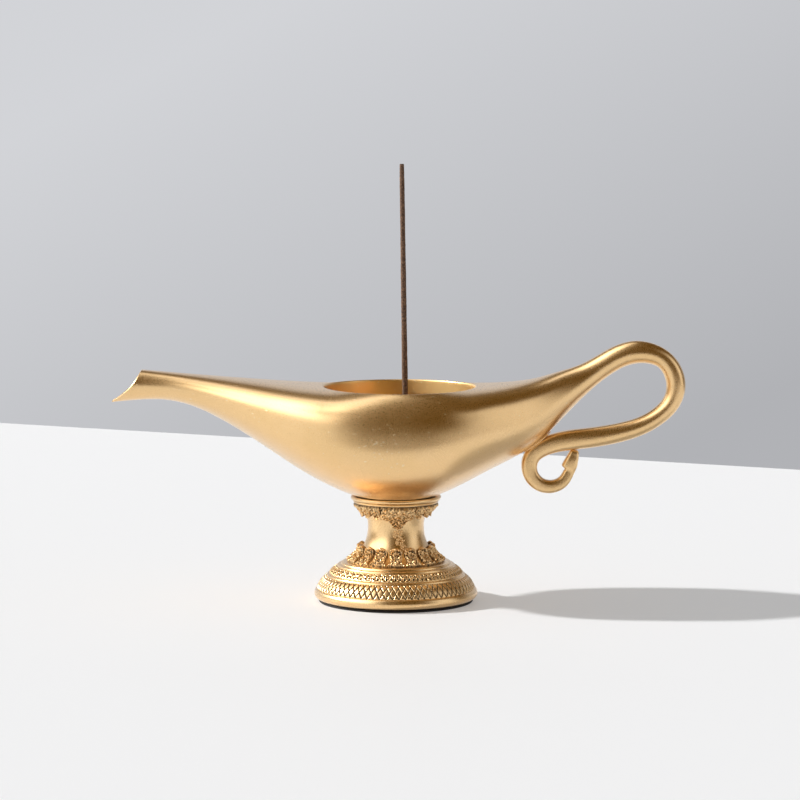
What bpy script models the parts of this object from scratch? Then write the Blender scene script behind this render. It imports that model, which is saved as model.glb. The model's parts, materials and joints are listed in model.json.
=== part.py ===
"""Genie lamp incense burner on a pedestal foot, in metres with +Z up.

The origin is the centre of the foot's underside. The spout points to -X, the handle to +X.
"""

import math

import bmesh
import bpy
import numpy as np
from mathutils import Matrix, Vector

# All sizes below are in millimetres, and points are written as (x, z) or (radius, z)
MM = 0.001
FIT = 0.3

# Base pad
PAD_RADIUS = 28.3
PAD_THICKNESS = 0.8

# Foot
FOOT_RADIUS = 30.05
FOOT_HEIGHT = 37.4
RIM_BEAD_TOP = 4.6
LATTICE_RADIUS = 29.2
LATTICE_TOP = 9.5
GRAIN_RADIUS = 24.9
GRAIN_TOP = 12.9
LEDGE_RADIUS = 21.6
LEDGE_TOP = 14.7
CROWN_RADIUS = 17.9
WAIST_RADIUS = 10.3
WAIST_Z = 27.4
COLLAR_RADIUS = 15.9
COLLAR_BEAD = 1.5
FOOT_WALL = 3.2
SCREW_WEB = 4.8

# Relief on the foot: each leaf's half thickness, half width and half height, and its lean in degrees
PETALS = 16
PETAL_SIZE = (1.3, 2.7, 3.9)
PETAL_LEAN = -38.0
PETAL_RISE = 2.6
LEAVES = 16
LEAF_SIZE = (0.9, 2.2, 2.9)
LEAF_LEAN = 40.0
LEAF_DROP = 2.2
PENDANT_SIZE = (1.0, 3.4, 4.6)
PENDANT_LEAN = 196.0
PENDANT_DROP = 6.4
LEAF_TAPER = 0.28

# Neck ring
RING_RADIUS = 16.6
RING_THICKNESS = 1.3

# Vessel
VESSEL_HEIGHT = 40.0
BOWL_HALF_WIDTH = 36.0
RIM_RADIUS = 27.6
RIM_X = 1.3
BELT_SHARE = 0.55
RIM_SQUARENESS = 1.4
SQUARENESS_FADE = 1.2
BELLY_DROP = 2.8
WALL = 2.3
FLOOR_THICKNESS = 3.2
CUP_DEPTH = 7.0
CUP_FADE = 2.0
SPOUT_REACH = 103.9
SPOUT_TIP_DROP = 5.9
SPOUT_TOP_RISE = 6.7
SPOUT_HALF_WIDTH = 6.2
SPOUT_WALL = 1.7
TIP_ROUNDING = 8.5
MOUTH_SCOOP_RADIUS = 22.7
MOUTH_SCOOP_X = 10.2
MOUTH_SCOOP_RISE = 15.5
TAIL_X = 71.0
TAIL_RISE = 4.4
TAIL_RADIUS = 4.7
TAIL_SLOPE = 34.0
TAIL_SOLID_FROM = 52.0
BOSS_RADIUS = 6.0
BOSS_HEIGHT = 2.7

# Handle
TENON_RADIUS = 2.2
TENON_LENGTH = 8.0
TENON_ROOT = 3.0
HANDLE_REACH = 31.4
CURL_RADIUS = 7.4
CURL_X = 50.4
CURL_SADDLE = 0.7
CURL_ROD_RADIUS = 3.3
CURL_NECK_RADIUS = 2.0
CURL_START_ANGLE = 112.0
CURL_END_ANGLE = 345.0
CURL_HEAD_RADIUS = 2.75
CURL_HEAD_INSET = 0.55
CURL_HEAD_LENGTH = 6.0
CURL_HEAD_LEAN = 15.0
CURL_NECK_LENGTH = 0.8

# Fasteners
SCREW_RADIUS = 2.0
SCREW_HEAD_RADIUS = 3.6
SCREW_HEAD_HEIGHT = 2.4
SOCKET_RADIUS = 1.6
WASHER_RADIUS = 5.0
WASHER_THICKNESS = 0.8
HOLDER_SCREW_RADIUS = 1.0
HOLDER_HEAD_RADIUS = 2.1
HOLDER_HEAD_HEIGHT = 1.2

# Ash dish, stick holder and stick
DISH_RADIUS = 23.0
DISH_FLOOR_RADIUS = 16.5
DISH_FOOT_RADIUS = 15.2
DISH_FOOT_HEIGHT = 4.2
DISH_DEPTH = 6.2
DISH_WALL = 1.0
DISH_FOOT_WALL = 1.4
HOLDER_RADIUS = 7.6
HOLDER_HEIGHT = 9.0
HOLDER_FLANGE = 1.4
HOLDER_CHAMFER = 0.7
HOLDER_PITCH = 3.7
HOLDER_THREAD_DEPTH = 5.4
HOLE_RADII = (1.4, 1.7, 1.2)
HOLE_DEPTH = 7.8
STICK_RADIUS = 1.05
STICK_TOP_RADIUS = 0.85
STICK_LENGTH = 110.5
STICK_LEAN = 0.83

# Fineness of the lofted vessel
SKIN_SIDES = 32
CAVITY_SIDES = 20
CUTTER_SIDES = 26
SPAN_STEPS = 3

# Levels that follow from the stack of pieces
FOOT_BOTTOM = PAD_THICKNESS + FIT
RING_BOTTOM = FOOT_HEIGHT + FIT
SEAT_Z = RING_BOTTOM + RING_THICKNESS + FIT
RIM_Z = SEAT_Z + VESSEL_HEIGHT
FLOOR_Z = SEAT_Z + FLOOR_THICKNESS
BOSS_TOP = FLOOR_Z + BOSS_HEIGHT
WEB_BOTTOM = FOOT_HEIGHT - SCREW_WEB
WASHER_TOP = WEB_BOTTOM - FIT
DISH_BOTTOM = FLOOR_Z + FIT
DISH_UNDERSIDE = DISH_BOTTOM + DISH_FOOT_HEIGHT
DISH_FLOOR = DISH_UNDERSIDE + DISH_WALL
HOLDER_BOTTOM = DISH_FLOOR + FIT
HOLDER_TOP = HOLDER_BOTTOM + HOLDER_HEIGHT
STICK_BOTTOM = HOLDER_TOP - HOLE_DEPTH + FIT
SCREW_HOLE = SCREW_RADIUS + FIT
TAIL_Z = RIM_Z + TAIL_RISE


def clear_scene():
    for old in list(bpy.data.objects):
        bpy.data.objects.remove(old, do_unlink=True)


def make_material(name, colour, roughness, metallic):
    material = bpy.data.materials.new(name)
    material.use_nodes = True
    shader = material.node_tree.nodes["Principled BSDF"]
    shader.inputs["Base Color"].default_value = (*colour, 1.0)
    shader.inputs["Roughness"].default_value = roughness
    shader.inputs["Metallic"].default_value = metallic
    return material


def finish_object(name, work, material):
    """Turns a bmesh in millimetres into a smooth-shaded object in metres."""
    bmesh.ops.recalc_face_normals(work, faces=work.faces)
    bmesh.ops.scale(work, vec=(MM, MM, MM), verts=work.verts)
    mesh = bpy.data.meshes.new(name)
    work.to_mesh(mesh)
    work.free()
    mesh.materials.append(material)
    mesh.shade_smooth()
    mesh.set_sharp_from_angle(angle=math.radians(35))
    made = bpy.data.objects.new(name, mesh)
    bpy.context.collection.objects.link(made)
    return made


def add_ring_faces(work, rings, closed_ends=True):
    """Joins a run of equal rings of vertices and caps both ends."""
    count = len(rings[0])
    for low, high in zip(rings, rings[1:]):
        for i in range(count):
            j = (i + 1) % count
            work.faces.new((low[i], low[j], high[j], high[i]))
    if closed_ends:
        work.faces.new(tuple(reversed(rings[0])))
        work.faces.new(tuple(rings[-1]))


def turned(name, outline, segments, material, centre=(0.0, 0.0)):
    """Spins an outline of (radius, z) points whose flat ends lie on a vertical axis."""
    work = bmesh.new()
    rings = []
    for radius, z in outline[1:-1]:
        ring = []
        for k in range(segments):
            angle = 2 * math.pi * k / segments
            x = centre[0] + radius * math.cos(angle)
            y = centre[1] + radius * math.sin(angle)
            ring.append(work.verts.new((x, y, z)))
        rings.append(ring)
    add_ring_faces(work, rings)
    return finish_object(name, work, material)


def turned_ring(name, outline, segments, material):
    """Spins a closed outline that stays clear of the axis."""
    work = bmesh.new()
    rings = []
    for k in range(segments):
        angle = 2 * math.pi * k / segments
        ring = [work.verts.new((r * math.cos(angle), r * math.sin(angle), z)) for r, z in outline]
        rings.append(ring)
    rings.append(rings[0])
    add_ring_faces(work, rings, closed_ends=False)
    return finish_object(name, work, material)


def make_cutter(made):
    made.hide_render = True
    made.display_type = "WIRE"
    return made


def combine(target, other, operation):
    modifier = target.modifiers.new(operation.title() + " " + other.name, "BOOLEAN")
    modifier.operation = operation
    modifier.solver = "EXACT"
    modifier.object = make_cutter(other)


def arc(start, end, bulge, steps):
    """Points from start to end, bowed to the right of the way by the bulge; the start is left out."""
    start = np.array(start)
    end = np.array(end)
    way = end - start
    side = np.array((way[1], -way[0])) / np.hypot(*way)
    shares = np.arange(1, steps + 1) / steps
    return [tuple(start + way * s + side * bulge * 4 * s * (1 - s)) for s in shares]


def spline_columns(rows, steps):
    """Natural cubic spline through the rows, spaced by their first two columns, steps per span."""
    rows = np.array(rows, float)
    spans = np.hypot(*np.diff(rows[:, :2], axis=0).T)
    knots = np.concatenate(([0.0], np.cumsum(spans)))
    count = len(rows)
    system = np.eye(count)
    right = np.zeros_like(rows)
    for i in range(1, count - 1):
        before = knots[i] - knots[i - 1]
        after = knots[i + 1] - knots[i]
        system[i, i - 1 : i + 2] = (before, 2 * (before + after), after)
        right[i] = 6 * ((rows[i + 1] - rows[i]) / after - (rows[i] - rows[i - 1]) / before)
    bends = np.linalg.solve(system, right)
    out = []
    for i in range(count - 1):
        span = knots[i + 1] - knots[i]
        for share in np.arange(steps) / steps:
            near = 1 - share
            out.append(
                near * rows[i]
                + share * rows[i + 1]
                + span**2 / 6 * ((near**3 - near) * bends[i] + (share**3 - share) * bends[i + 1])
            )
    out.append(rows[-1])
    return np.array(out)


# Vessel


def tail_frame():
    """The tail's end centre, its direction along the handle rod, and the way up across it, as (x, z)."""
    slope = math.radians(TAIL_SLOPE)
    along = np.array((math.cos(slope), math.sin(slope)))
    across = np.array((-math.sin(slope), math.cos(slope)))
    return np.array((TAIL_X, TAIL_Z)), along, across


def vessel_stations():
    """Rows of crown x, keel x, crown z, keel z and half width, from the spout's tip to the tail."""
    low = SEAT_Z - BELLY_DROP
    tip = RIM_Z - SPOUT_TIP_DROP
    climb = tip - low
    rim_left = RIM_X - RIM_RADIUS
    spout_run = SPOUT_REACH + rim_left
    taper = BOWL_HALF_WIDTH - SPOUT_HALF_WIDTH
    # Shares of the reach, of the keel's climb to the tip and of the bowl's extra width
    spout_shape = (
        (1.0, 1.0, 0.0),
        (0.9, 1.024, 0.005),
        (0.82, 1.026, 0.03),
        (0.72, 0.968, 0.11),
        (0.61, 0.825, 0.255),
        (0.48, 0.602, 0.48),
        (0.335, 0.335, 0.745),
        (0.19, 0.125, 0.93),
    )
    rows = []
    for reach, climbed, width in spout_shape:
        x = -SPOUT_REACH * reach
        share = max(0.0, (rim_left - x) / spout_run)
        crown = RIM_Z + SPOUT_TOP_RISE * share
        rows.append((x, x, crown, low + climb * climbed, SPOUT_HALF_WIDTH + taper * width))
    rows.append((0.0, 0.0, RIM_Z, low, BOWL_HALF_WIDTH))

    end, _, across = tail_frame()
    crown_end = end + across * TAIL_RADIUS
    keel_end = end - across * TAIL_RADIUS
    rise = crown_end[1] - RIM_Z
    climb = keel_end[1] - low
    tail_taper = BOWL_HALF_WIDTH - TAIL_RADIUS
    # Shares of the crown's and the keel's reach, of each one's climb, and of the bowl's extra width
    tail_shape = (
        (0.27, 0.27, 0.0, 0.115, 0.945),
        (0.45, 0.47, 0.06, 0.287, 0.74),
        (0.62, 0.655, 0.20, 0.455, 0.47),
        (0.745, 0.765, 0.40, 0.605, 0.275),
        (0.865, 0.87, 0.66, 0.79, 0.115),
        (1.0, 1.0, 1.0, 1.0, 0.0),
    )
    for crown_x, keel_x, risen, climbed, width in tail_shape:
        rows.append(
            (
                crown_end[0] * crown_x,
                keel_end[0] * keel_x,
                RIM_Z + rise * risen,
                low + climb * climbed,
                TAIL_RADIUS + tail_taper * width,
            )
        )
    return rows


def nearness(x, fade):
    """1 over the opening, falling towards 0 along the spout and the tail."""
    away = max(0.0, abs(x - RIM_X) - RIM_RADIUS) / RIM_RADIUS
    return 1.0 / (1.0 + (fade * away) ** 2)


def section(crown, keel, half_width, count, rim_level):
    """One closed ring of points round the vessel between its crown and its keel."""
    belt = keel + (crown - keel) * BELT_SHARE
    # The top of a section is squarer over the opening and round along the spout and the tail
    power = 2.0 + RIM_SQUARENESS * nearness(belt[0], SQUARENESS_FADE)
    reach = RIM_RADIUS**2 - (belt[0] - RIM_X) ** 2
    crown = crown.copy()
    if reach > 0:
        # The crown over the opening is cut away; it is raised so that the cut edge is level
        widest_chord = 0.97
        chord = min(math.sqrt(reach) / half_width, widest_chord)
        crown[1] = belt[1] + (rim_level - belt[1]) / (1 - chord**power) ** (1 / power)
    ring = []
    for k in range(count):
        angle = 2 * math.pi * (k + 0.5) / count
        side = math.cos(angle)
        rise = math.sin(angle)
        bend = power if rise > 0 else 2.0
        size = (abs(side) ** bend + abs(rise) ** bend) ** (-1 / bend)
        end = crown if rise > 0 else keel
        point = belt + (end - belt) * size * abs(rise)
        ring.append((point[0], half_width * size * side, point[1]))
    return ring


def tip_width(x, half_width):
    """Rounds the spout's tip in plan."""
    past = (-x - (SPOUT_REACH - TIP_ROUNDING)) / TIP_ROUNDING
    if past <= 0:
        return half_width
    narrowest = 0.02
    return half_width * math.sqrt(max(1 - past**2, narrowest))


def vessel_rings(inset, count, steps):
    """Section rings of the vessel, at its skin or, with an inset, of the cavity that leaves that wall."""
    rings = []
    for crown_x, keel_x, crown_z, keel_z, half_width in spline_columns(vessel_stations(), steps):
        crown = np.array((crown_x, crown_z))
        keel = np.array((keel_x, keel_z))
        up = (crown - keel) / np.hypot(*(crown - keel))
        wall = inset
        ceiling_drop = 0.0
        if inset <= 0:
            half_width = tip_width(keel_x, half_width)
        elif keel_x > TAIL_SOLID_FROM:
            continue
        else:
            # The wall thins from the bowl's to the spout's where the vessel gets narrow
            width_share = min(1.0, max(0.0, half_width / SPOUT_HALF_WIDTH - 1.0))
            wall = SPOUT_WALL + (inset - SPOUT_WALL) * width_share
            ceiling_drop = (CUP_DEPTH - inset) * nearness(crown_x, CUP_FADE)
        top = crown - up * (wall + ceiling_drop)
        bottom = keel + up * wall
        rim_level = RIM_Z if inset <= 0 else RIM_Z - CUP_DEPTH
        rings.append(section(top, bottom, half_width - wall, count, rim_level))
    return rings


def loft(name, rings, material):
    work = bmesh.new()
    add_ring_faces(work, [[work.verts.new(point) for point in ring] for ring in rings])
    return finish_object(name, work, material)


def cylinder_between(name, start, end, radius, segments, material):
    """A plain cylinder in the XZ plane between two (x, z) points."""
    work = bmesh.new()
    way = Vector((end[0] - start[0], 0.0, end[1] - start[1]))
    turn = way.to_track_quat("Z", "Y").to_matrix().to_4x4()
    middle = Vector(((start[0] + end[0]) / 2, 0.0, (start[1] + end[1]) / 2))
    bmesh.ops.create_cone(
        work,
        cap_ends=True,
        segments=segments,
        radius1=radius,
        radius2=radius,
        depth=way.length,
        matrix=Matrix.Translation(middle) @ turn,
    )
    return finish_object(name, work, material)


def plain_disc(name, radius, bottom, top, segments, material, centre=(0.0, 0.0)):
    outline = ((0, bottom), (radius, bottom), (radius, top), (0, top))
    return turned(name, outline, segments, material, centre)


def make_vessel(material):
    vessel = loft("vessel", vessel_rings(0.0, SKIN_SIDES, SPAN_STEPS), material)

    below = 10.0
    thread_end = BOSS_TOP - SCREW_HOLE / 2
    seat = [(0, SEAT_Z - below), (BOWL_HALF_WIDTH, SEAT_Z - below), (BOWL_HALF_WIDTH, SEAT_Z)]
    seat += [(SCREW_HOLE, SEAT_Z), (SCREW_HOLE, thread_end), (0, thread_end)]
    combine(vessel, turned("seat_and_thread", seat, CUTTER_SIDES, material), "DIFFERENCE")

    rings = vessel_rings(WALL, CAVITY_SIDES, SPAN_STEPS)
    mouth = [(x - below, y, z) for x, y, z in rings[0]]
    cavity = loft("cavity", [mouth, *rings], material)
    floor = [(0, SEAT_Z - below), (BOWL_HALF_WIDTH, SEAT_Z - below), (BOWL_HALF_WIDTH, FLOOR_Z)]
    floor += [(BOSS_RADIUS, FLOOR_Z), (BOSS_RADIUS, BOSS_TOP), (0, BOSS_TOP)]
    combine(cavity, turned("floor_and_boss", floor, CUTTER_SIDES, material), "DIFFERENCE")
    combine(vessel, cavity, "DIFFERENCE")

    above = RIM_Z + below
    opening = plain_disc("opening", RIM_RADIUS, RIM_Z - below, above, 64, material, (RIM_X, 0.0))
    combine(vessel, opening, "DIFFERENCE")

    scoop_x = -SPOUT_REACH - MOUTH_SCOOP_X
    scoop_z = RIM_Z + MOUTH_SCOOP_RISE
    work = bmesh.new()
    bmesh.ops.create_cone(
        work,
        cap_ends=True,
        segments=68,
        radius1=MOUTH_SCOOP_RADIUS,
        radius2=MOUTH_SCOOP_RADIUS,
        depth=BOWL_HALF_WIDTH,
        matrix=Matrix.Translation((scoop_x, 0, scoop_z)) @ Matrix.Rotation(math.pi / 2, 4, "X"),
    )
    combine(vessel, finish_object("mouth_scoop", work, material), "DIFFERENCE")

    end, along, _ = tail_frame()
    depth = TENON_LENGTH + FIT
    bore = TENON_RADIUS + FIT
    socket = cylinder_between("tail_socket", end - along * depth, end + along, bore, 20, material)
    combine(vessel, socket, "DIFFERENCE")
    return vessel


# Handle


def keel_point(x):
    """The vessel's underside at x, and its outward direction there, as (x, z) pairs."""
    fine_steps = 12
    curve = spline_columns(vessel_stations(), fine_steps)[:, [1, 3]]
    i = int(np.argmax(curve[:, 0] > x))
    before, after = curve[i - 1], curve[i]
    share = (x - before[0]) / (after[0] - before[0])
    point = before + (after - before) * share
    way = (after - before) / np.hypot(*(after - before))
    return point, np.array((way[1], -way[0]))


def handle_path():
    """Rows of x, z and rod radius from the tail joint round the loop and the curl to the curl's head."""
    end, along, _ = tail_frame()
    start = end + along * FIT
    touch, outward = keel_point(CURL_X)
    centre = touch + outward * (CURL_RADIUS + CURL_ROD_RADIUS - CURL_SADDLE)
    # Offsets in x and z from the tail's end, and the rod's radius there
    loop = (
        (5.6, 3.6, 4.25),
        (10.9, 6.4, 4.05),
        (16.4, 7.8, 3.95),
        (22.0, 7.4, 3.65),
        (26.9, 5.2, 3.45),
        (30.2, 0.9, 3.5),
        (31.4, -4.7, 3.5),
        (30.0, -10.0, 3.35),
        (25.9, -14.8, 3.25),
        (19.5, -18.8, 3.3),
        (10.0, -21.8, 3.55),
        (-1.0, -23.6, 3.7),
        (-9.0, -24.6, 3.65),
    )
    size = HANDLE_REACH / max(x for x, _, _ in loop)
    rows = [(*start, TAIL_RADIUS)]
    rows += [(end[0] + x * size, end[1] + z * size, radius * size) for x, z, radius in loop]
    curl_steps = 7
    for share in np.linspace(0.0, 1.0, curl_steps + 1):
        angle = math.radians(CURL_START_ANGLE + (CURL_END_ANGLE - CURL_START_ANGLE) * share)
        around = centre + CURL_RADIUS * np.array((math.cos(angle), math.sin(angle)))
        rows.append((*around, CURL_ROD_RADIUS + (CURL_NECK_RADIUS - CURL_ROD_RADIUS) * share))
    return spline_columns(rows, 2)


def rod_rings(path, sides):
    """Rings of points square to the path, which stays in the XZ plane."""
    rings = []
    ways = np.gradient(path[:, :2], axis=0)
    for (x, z, radius), way in zip(path, ways):
        way = way / np.hypot(*way)
        ring = []
        for k in range(sides):
            angle = 2 * math.pi * k / sides
            out = radius * math.cos(angle)
            ring.append((x - way[1] * out, radius * math.sin(angle), z + way[0] * out))
        rings.append(ring)
    return rings


def make_handle(material):
    path = handle_path()
    end = path[-1, :2]
    way = end - path[-2, :2]
    way = way / np.hypot(*way)
    neck = end + way * CURL_NECK_LENGTH
    rows = [*path, (*neck, CURL_NECK_RADIUS)]
    slant = math.radians(CURL_HEAD_LEAN)
    lean = np.array((math.sin(slant), math.cos(slant)))
    barb = neck - np.array((CURL_HEAD_INSET, 0.0))
    # The head's swelling: shares of its length and of its radius
    for share, swell in ((0.10, 1.0), (0.45, 0.95), (0.85, 0.78), (1.0, 0.5)):
        at = barb + lean * CURL_HEAD_LENGTH * share
        rows.append((*at, CURL_HEAD_RADIUS * swell))
    handle = loft("handle", rod_rings(np.array(rows), 12), material)

    skin = vessel_rings(-FIT, SKIN_SIDES, SPAN_STEPS)
    skin = loft("seat_skin", skin[len(skin) // 2 : -1], material)
    combine(handle, skin, "DIFFERENCE")

    tail, along, _ = tail_frame()
    root = tail + along * TENON_ROOT
    tenon = cylinder_between("tenon", tail - along * TENON_LENGTH, root, TENON_RADIUS, 20, material)
    combine(handle, tenon, "UNION")
    return handle


# Foot


def foot_outline():
    """The foot's outer outline from the axis at the bottom to the axis at the top."""
    bead = FOOT_HEIGHT - COLLAR_BEAD
    # Where each stretch ends, how far it bows outwards, and its steps
    stretches = (
        ((LATTICE_RADIUS + 0.3, RIM_BEAD_TOP), 1.0, 4),
        ((LATTICE_RADIUS - 0.2, RIM_BEAD_TOP + 0.25), 0.0, 1),
        ((GRAIN_RADIUS + 0.6, LATTICE_TOP), 0.55, 3),
        ((GRAIN_RADIUS - 0.3, LATTICE_TOP + 0.8), 0.3, 2),
        ((LEDGE_RADIUS, GRAIN_TOP), 0.35, 2),
        ((LEDGE_RADIUS - 0.9, GRAIN_TOP + 0.9), 0.35, 2),
        ((LEDGE_RADIUS - 1.4, GRAIN_TOP + 0.95), 0.0, 1),
        ((LEDGE_RADIUS - 2.3, LEDGE_TOP), 0.25, 2),
        ((CROWN_RADIUS, LEDGE_TOP + 0.15), 0.0, 1),
        ((WAIST_RADIUS, WAIST_Z), -2.1, 5),
        ((COLLAR_RADIUS - 0.7, bead), -1.7, 4),
        ((COLLAR_RADIUS - 0.4, FOOT_HEIGHT), 0.55, 3),
    )
    outline = [(0, FOOT_BOTTOM), (FOOT_RADIUS - 1.5, FOOT_BOTTOM)]
    for end, bow, steps in stretches:
        outline += arc(outline[-1], end, bow, steps)
    return [*outline, (0, FOOT_HEIGHT)]


def relief_leaves(name, size, lean, radius, z, turns, material):
    """Rounded leaves that stand out round the foot, one at each turn."""
    work = bmesh.new()
    for turn in turns:
        made = bmesh.ops.create_uvsphere(work, u_segments=7, v_segments=5, radius=1.0)
        for vert in made["verts"]:
            vert.co.y *= 1 - LEAF_TAPER * vert.co.z
        place = (
            Matrix.Rotation(turn, 4, "Z")
            @ Matrix.Translation((radius, 0, z))
            @ Matrix.Rotation(math.radians(lean), 4, "Y")
            @ Matrix.Diagonal((*size, 1.0))
        )
        bmesh.ops.transform(work, matrix=place, verts=made["verts"])
    return finish_object(name, work, material)


def add_relief(foot, material):
    """The crown of upright petals, the leaves that hang from the collar and its two pendants."""
    front = -math.pi / 2
    radius = (CROWN_RADIUS + WAIST_RADIUS) / 2 + 0.9
    turns = [front + 2 * math.pi * k / PETALS for k in range(PETALS)]
    z = LEDGE_TOP + PETAL_RISE
    petals = relief_leaves("crown_petals", PETAL_SIZE, PETAL_LEAN, radius, z, turns, material)
    combine(foot, petals, "UNION")

    radius = (COLLAR_RADIUS + WAIST_RADIUS) / 2 - 0.4
    turns = [front + 2 * math.pi * (k + 0.5) / LEAVES for k in range(LEAVES)]
    z = FOOT_HEIGHT - COLLAR_BEAD - LEAF_DROP
    leaves = relief_leaves("collar_leaves", LEAF_SIZE, LEAF_LEAN, radius, z, turns, material)
    combine(foot, leaves, "UNION")

    radius = WAIST_RADIUS + PENDANT_SIZE[0]
    z = FOOT_HEIGHT - PENDANT_DROP
    turns = (front, -front)
    pendants = relief_leaves("collar_pendants", PENDANT_SIZE, PENDANT_LEAN, radius, z, turns, material)
    combine(foot, pendants, "UNION")


def make_foot(material):
    foot = turned("foot", foot_outline(), 44, material)
    add_relief(foot, material)
    bore = WAIST_RADIUS - FOOT_WALL
    past = 1.0
    below = -past
    hollow = [(0, below), (FOOT_RADIUS - 2 * FOOT_WALL, below)]
    hollow += [(FOOT_RADIUS - 1.4 * FOOT_WALL, RIM_BEAD_TOP), (LEDGE_RADIUS - FOOT_WALL, LATTICE_TOP)]
    hollow += [(CROWN_RADIUS - 1.6 * FOOT_WALL, LEDGE_TOP)]
    hollow += arc(hollow[-1], (bore, WAIST_Z), -1.5, 4)
    above = FOOT_HEIGHT + past
    hollow += [(bore, WEB_BOTTOM), (SCREW_HOLE, WEB_BOTTOM), (SCREW_HOLE, above), (0, above)]
    combine(foot, turned("foot_hollow", hollow, 24, material), "DIFFERENCE")
    return foot


def make_neck_ring(material):
    top = RING_BOTTOM + RING_THICKNESS
    bow = 0.35
    outline = [(SCREW_HOLE, RING_BOTTOM), (RING_RADIUS - bow, RING_BOTTOM)]
    outline += arc(outline[-1], (RING_RADIUS - bow, top), bow, 3)
    outline += [(SCREW_HOLE, top)]
    return turned_ring("neck_ring", outline, 40, material)


def make_pad(material):
    edge = 0.15
    outline = (
        (0, 0),
        (PAD_RADIUS - edge, 0),
        (PAD_RADIUS, edge),
        (PAD_RADIUS, PAD_THICKNESS),
        (0, PAD_THICKNESS),
    )
    return turned("base_pad", outline, 48, material)


def make_screw(name, radius, tip, head_top, head_radius, head_height, socket, material):
    """A screw that points up, with a socket in its head and a chamfered tip."""
    bottom = head_top - head_height
    socket_depth = head_height * 0.55
    outline = (
        (0, bottom + socket_depth),
        (socket, bottom + socket_depth),
        (socket, bottom),
        (head_radius * 0.85, bottom),
        (head_radius, bottom + head_height * 0.25),
        (head_radius, head_top),
        (radius, head_top),
        (radius, tip - radius * 0.4),
        (radius * 0.6, tip),
        (0, tip),
    )
    return turned(name, outline, 16, material)


def make_washer(material):
    bottom = WASHER_TOP - WASHER_THICKNESS
    outline = (
        (SCREW_HOLE, bottom),
        (WASHER_RADIUS, bottom),
        (WASHER_RADIUS, WASHER_TOP),
        (SCREW_HOLE, WASHER_TOP),
    )
    return turned_ring("screw_washer", outline, 24, material)


# Ash dish, stick holder and stick


def make_dish(material):
    rim = DISH_FLOOR + DISH_DEPTH
    lip = 0.55
    bow = 0.9
    inner_foot = DISH_FOOT_RADIUS - DISH_FOOT_WALL
    hole = HOLDER_SCREW_RADIUS + FIT
    outline = [(hole, DISH_UNDERSIDE), (inner_foot, DISH_UNDERSIDE), (inner_foot, DISH_BOTTOM)]
    outline += [(DISH_FOOT_RADIUS, DISH_BOTTOM), (DISH_FOOT_RADIUS, DISH_UNDERSIDE)]
    outline += [(DISH_FLOOR_RADIUS, DISH_UNDERSIDE)]
    outline += arc(outline[-1], (DISH_RADIUS, rim - lip), bow, 4)
    outline += arc(outline[-1], (DISH_RADIUS - DISH_WALL, rim - lip), lip, 2)
    outline += arc(outline[-1], (DISH_FLOOR_RADIUS - DISH_WALL / 5, DISH_FLOOR), -bow, 4)
    outline += [(hole, DISH_FLOOR)]
    return turned_ring("ash_dish", outline, 28, material)


def holder_holes():
    """Each hole's radius and its centre, the first one towards the handle."""
    for k, radius in enumerate(HOLE_RADII):
        angle = 2 * math.pi * k / len(HOLE_RADII)
        yield radius, (HOLDER_PITCH * math.cos(angle), HOLDER_PITCH * math.sin(angle))


def make_holder(material):
    neck = HOLDER_RADIUS - HOLDER_FLANGE
    top = neck - HOLDER_CHAMFER
    flange_top = HOLDER_BOTTOM + HOLDER_FLANGE
    edge = 0.4
    outline = [(0, HOLDER_BOTTOM), (HOLDER_RADIUS - edge, HOLDER_BOTTOM)]
    outline += [(HOLDER_RADIUS, HOLDER_BOTTOM + edge), (HOLDER_RADIUS, flange_top)]
    outline += [(neck, flange_top + HOLDER_CHAMFER)]
    outline += arc(outline[-1], (neck, HOLDER_TOP - HOLDER_CHAMFER), -0.3, 3)
    outline += [(top, HOLDER_TOP), (0, HOLDER_TOP)]
    holder = turned("stick_holder", outline, 28, material)
    for radius, centre in holder_holes():
        bottom = HOLDER_TOP - HOLE_DEPTH
        hole = plain_disc("stick_hole", radius, bottom, HOLDER_TOP + 1, 20, material, centre)
        combine(holder, hole, "DIFFERENCE")
    thread = HOLDER_SCREW_RADIUS + FIT
    thread_end = HOLDER_BOTTOM + HOLDER_THREAD_DEPTH
    hole = plain_disc("holder_thread", thread, HOLDER_BOTTOM - 1, thread_end, 20, material)
    combine(holder, hole, "DIFFERENCE")
    return holder


def make_stick(material):
    """The stick leans a little in its hole, so it is turned upright and then tilted about its foot."""
    edge = 0.15
    outline = (
        (0, 0),
        (STICK_RADIUS - edge, 0),
        (STICK_RADIUS, edge),
        (STICK_RADIUS, STICK_LENGTH * 0.35),
        (STICK_TOP_RADIUS, STICK_LENGTH - edge),
        (STICK_TOP_RADIUS - edge, STICK_LENGTH),
        (0, STICK_LENGTH),
    )
    stick = turned("incense_stick", outline, 16, material)
    lean = math.radians(STICK_LEAN)
    half_hole = HOLE_DEPTH / 2
    foot_x = HOLDER_PITCH + half_hole * math.tan(lean)
    place = Matrix.Translation((foot_x * MM, 0, STICK_BOTTOM * MM))
    stick.matrix_world = place @ Matrix.Rotation(-lean, 4, "Y")
    return stick


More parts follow.
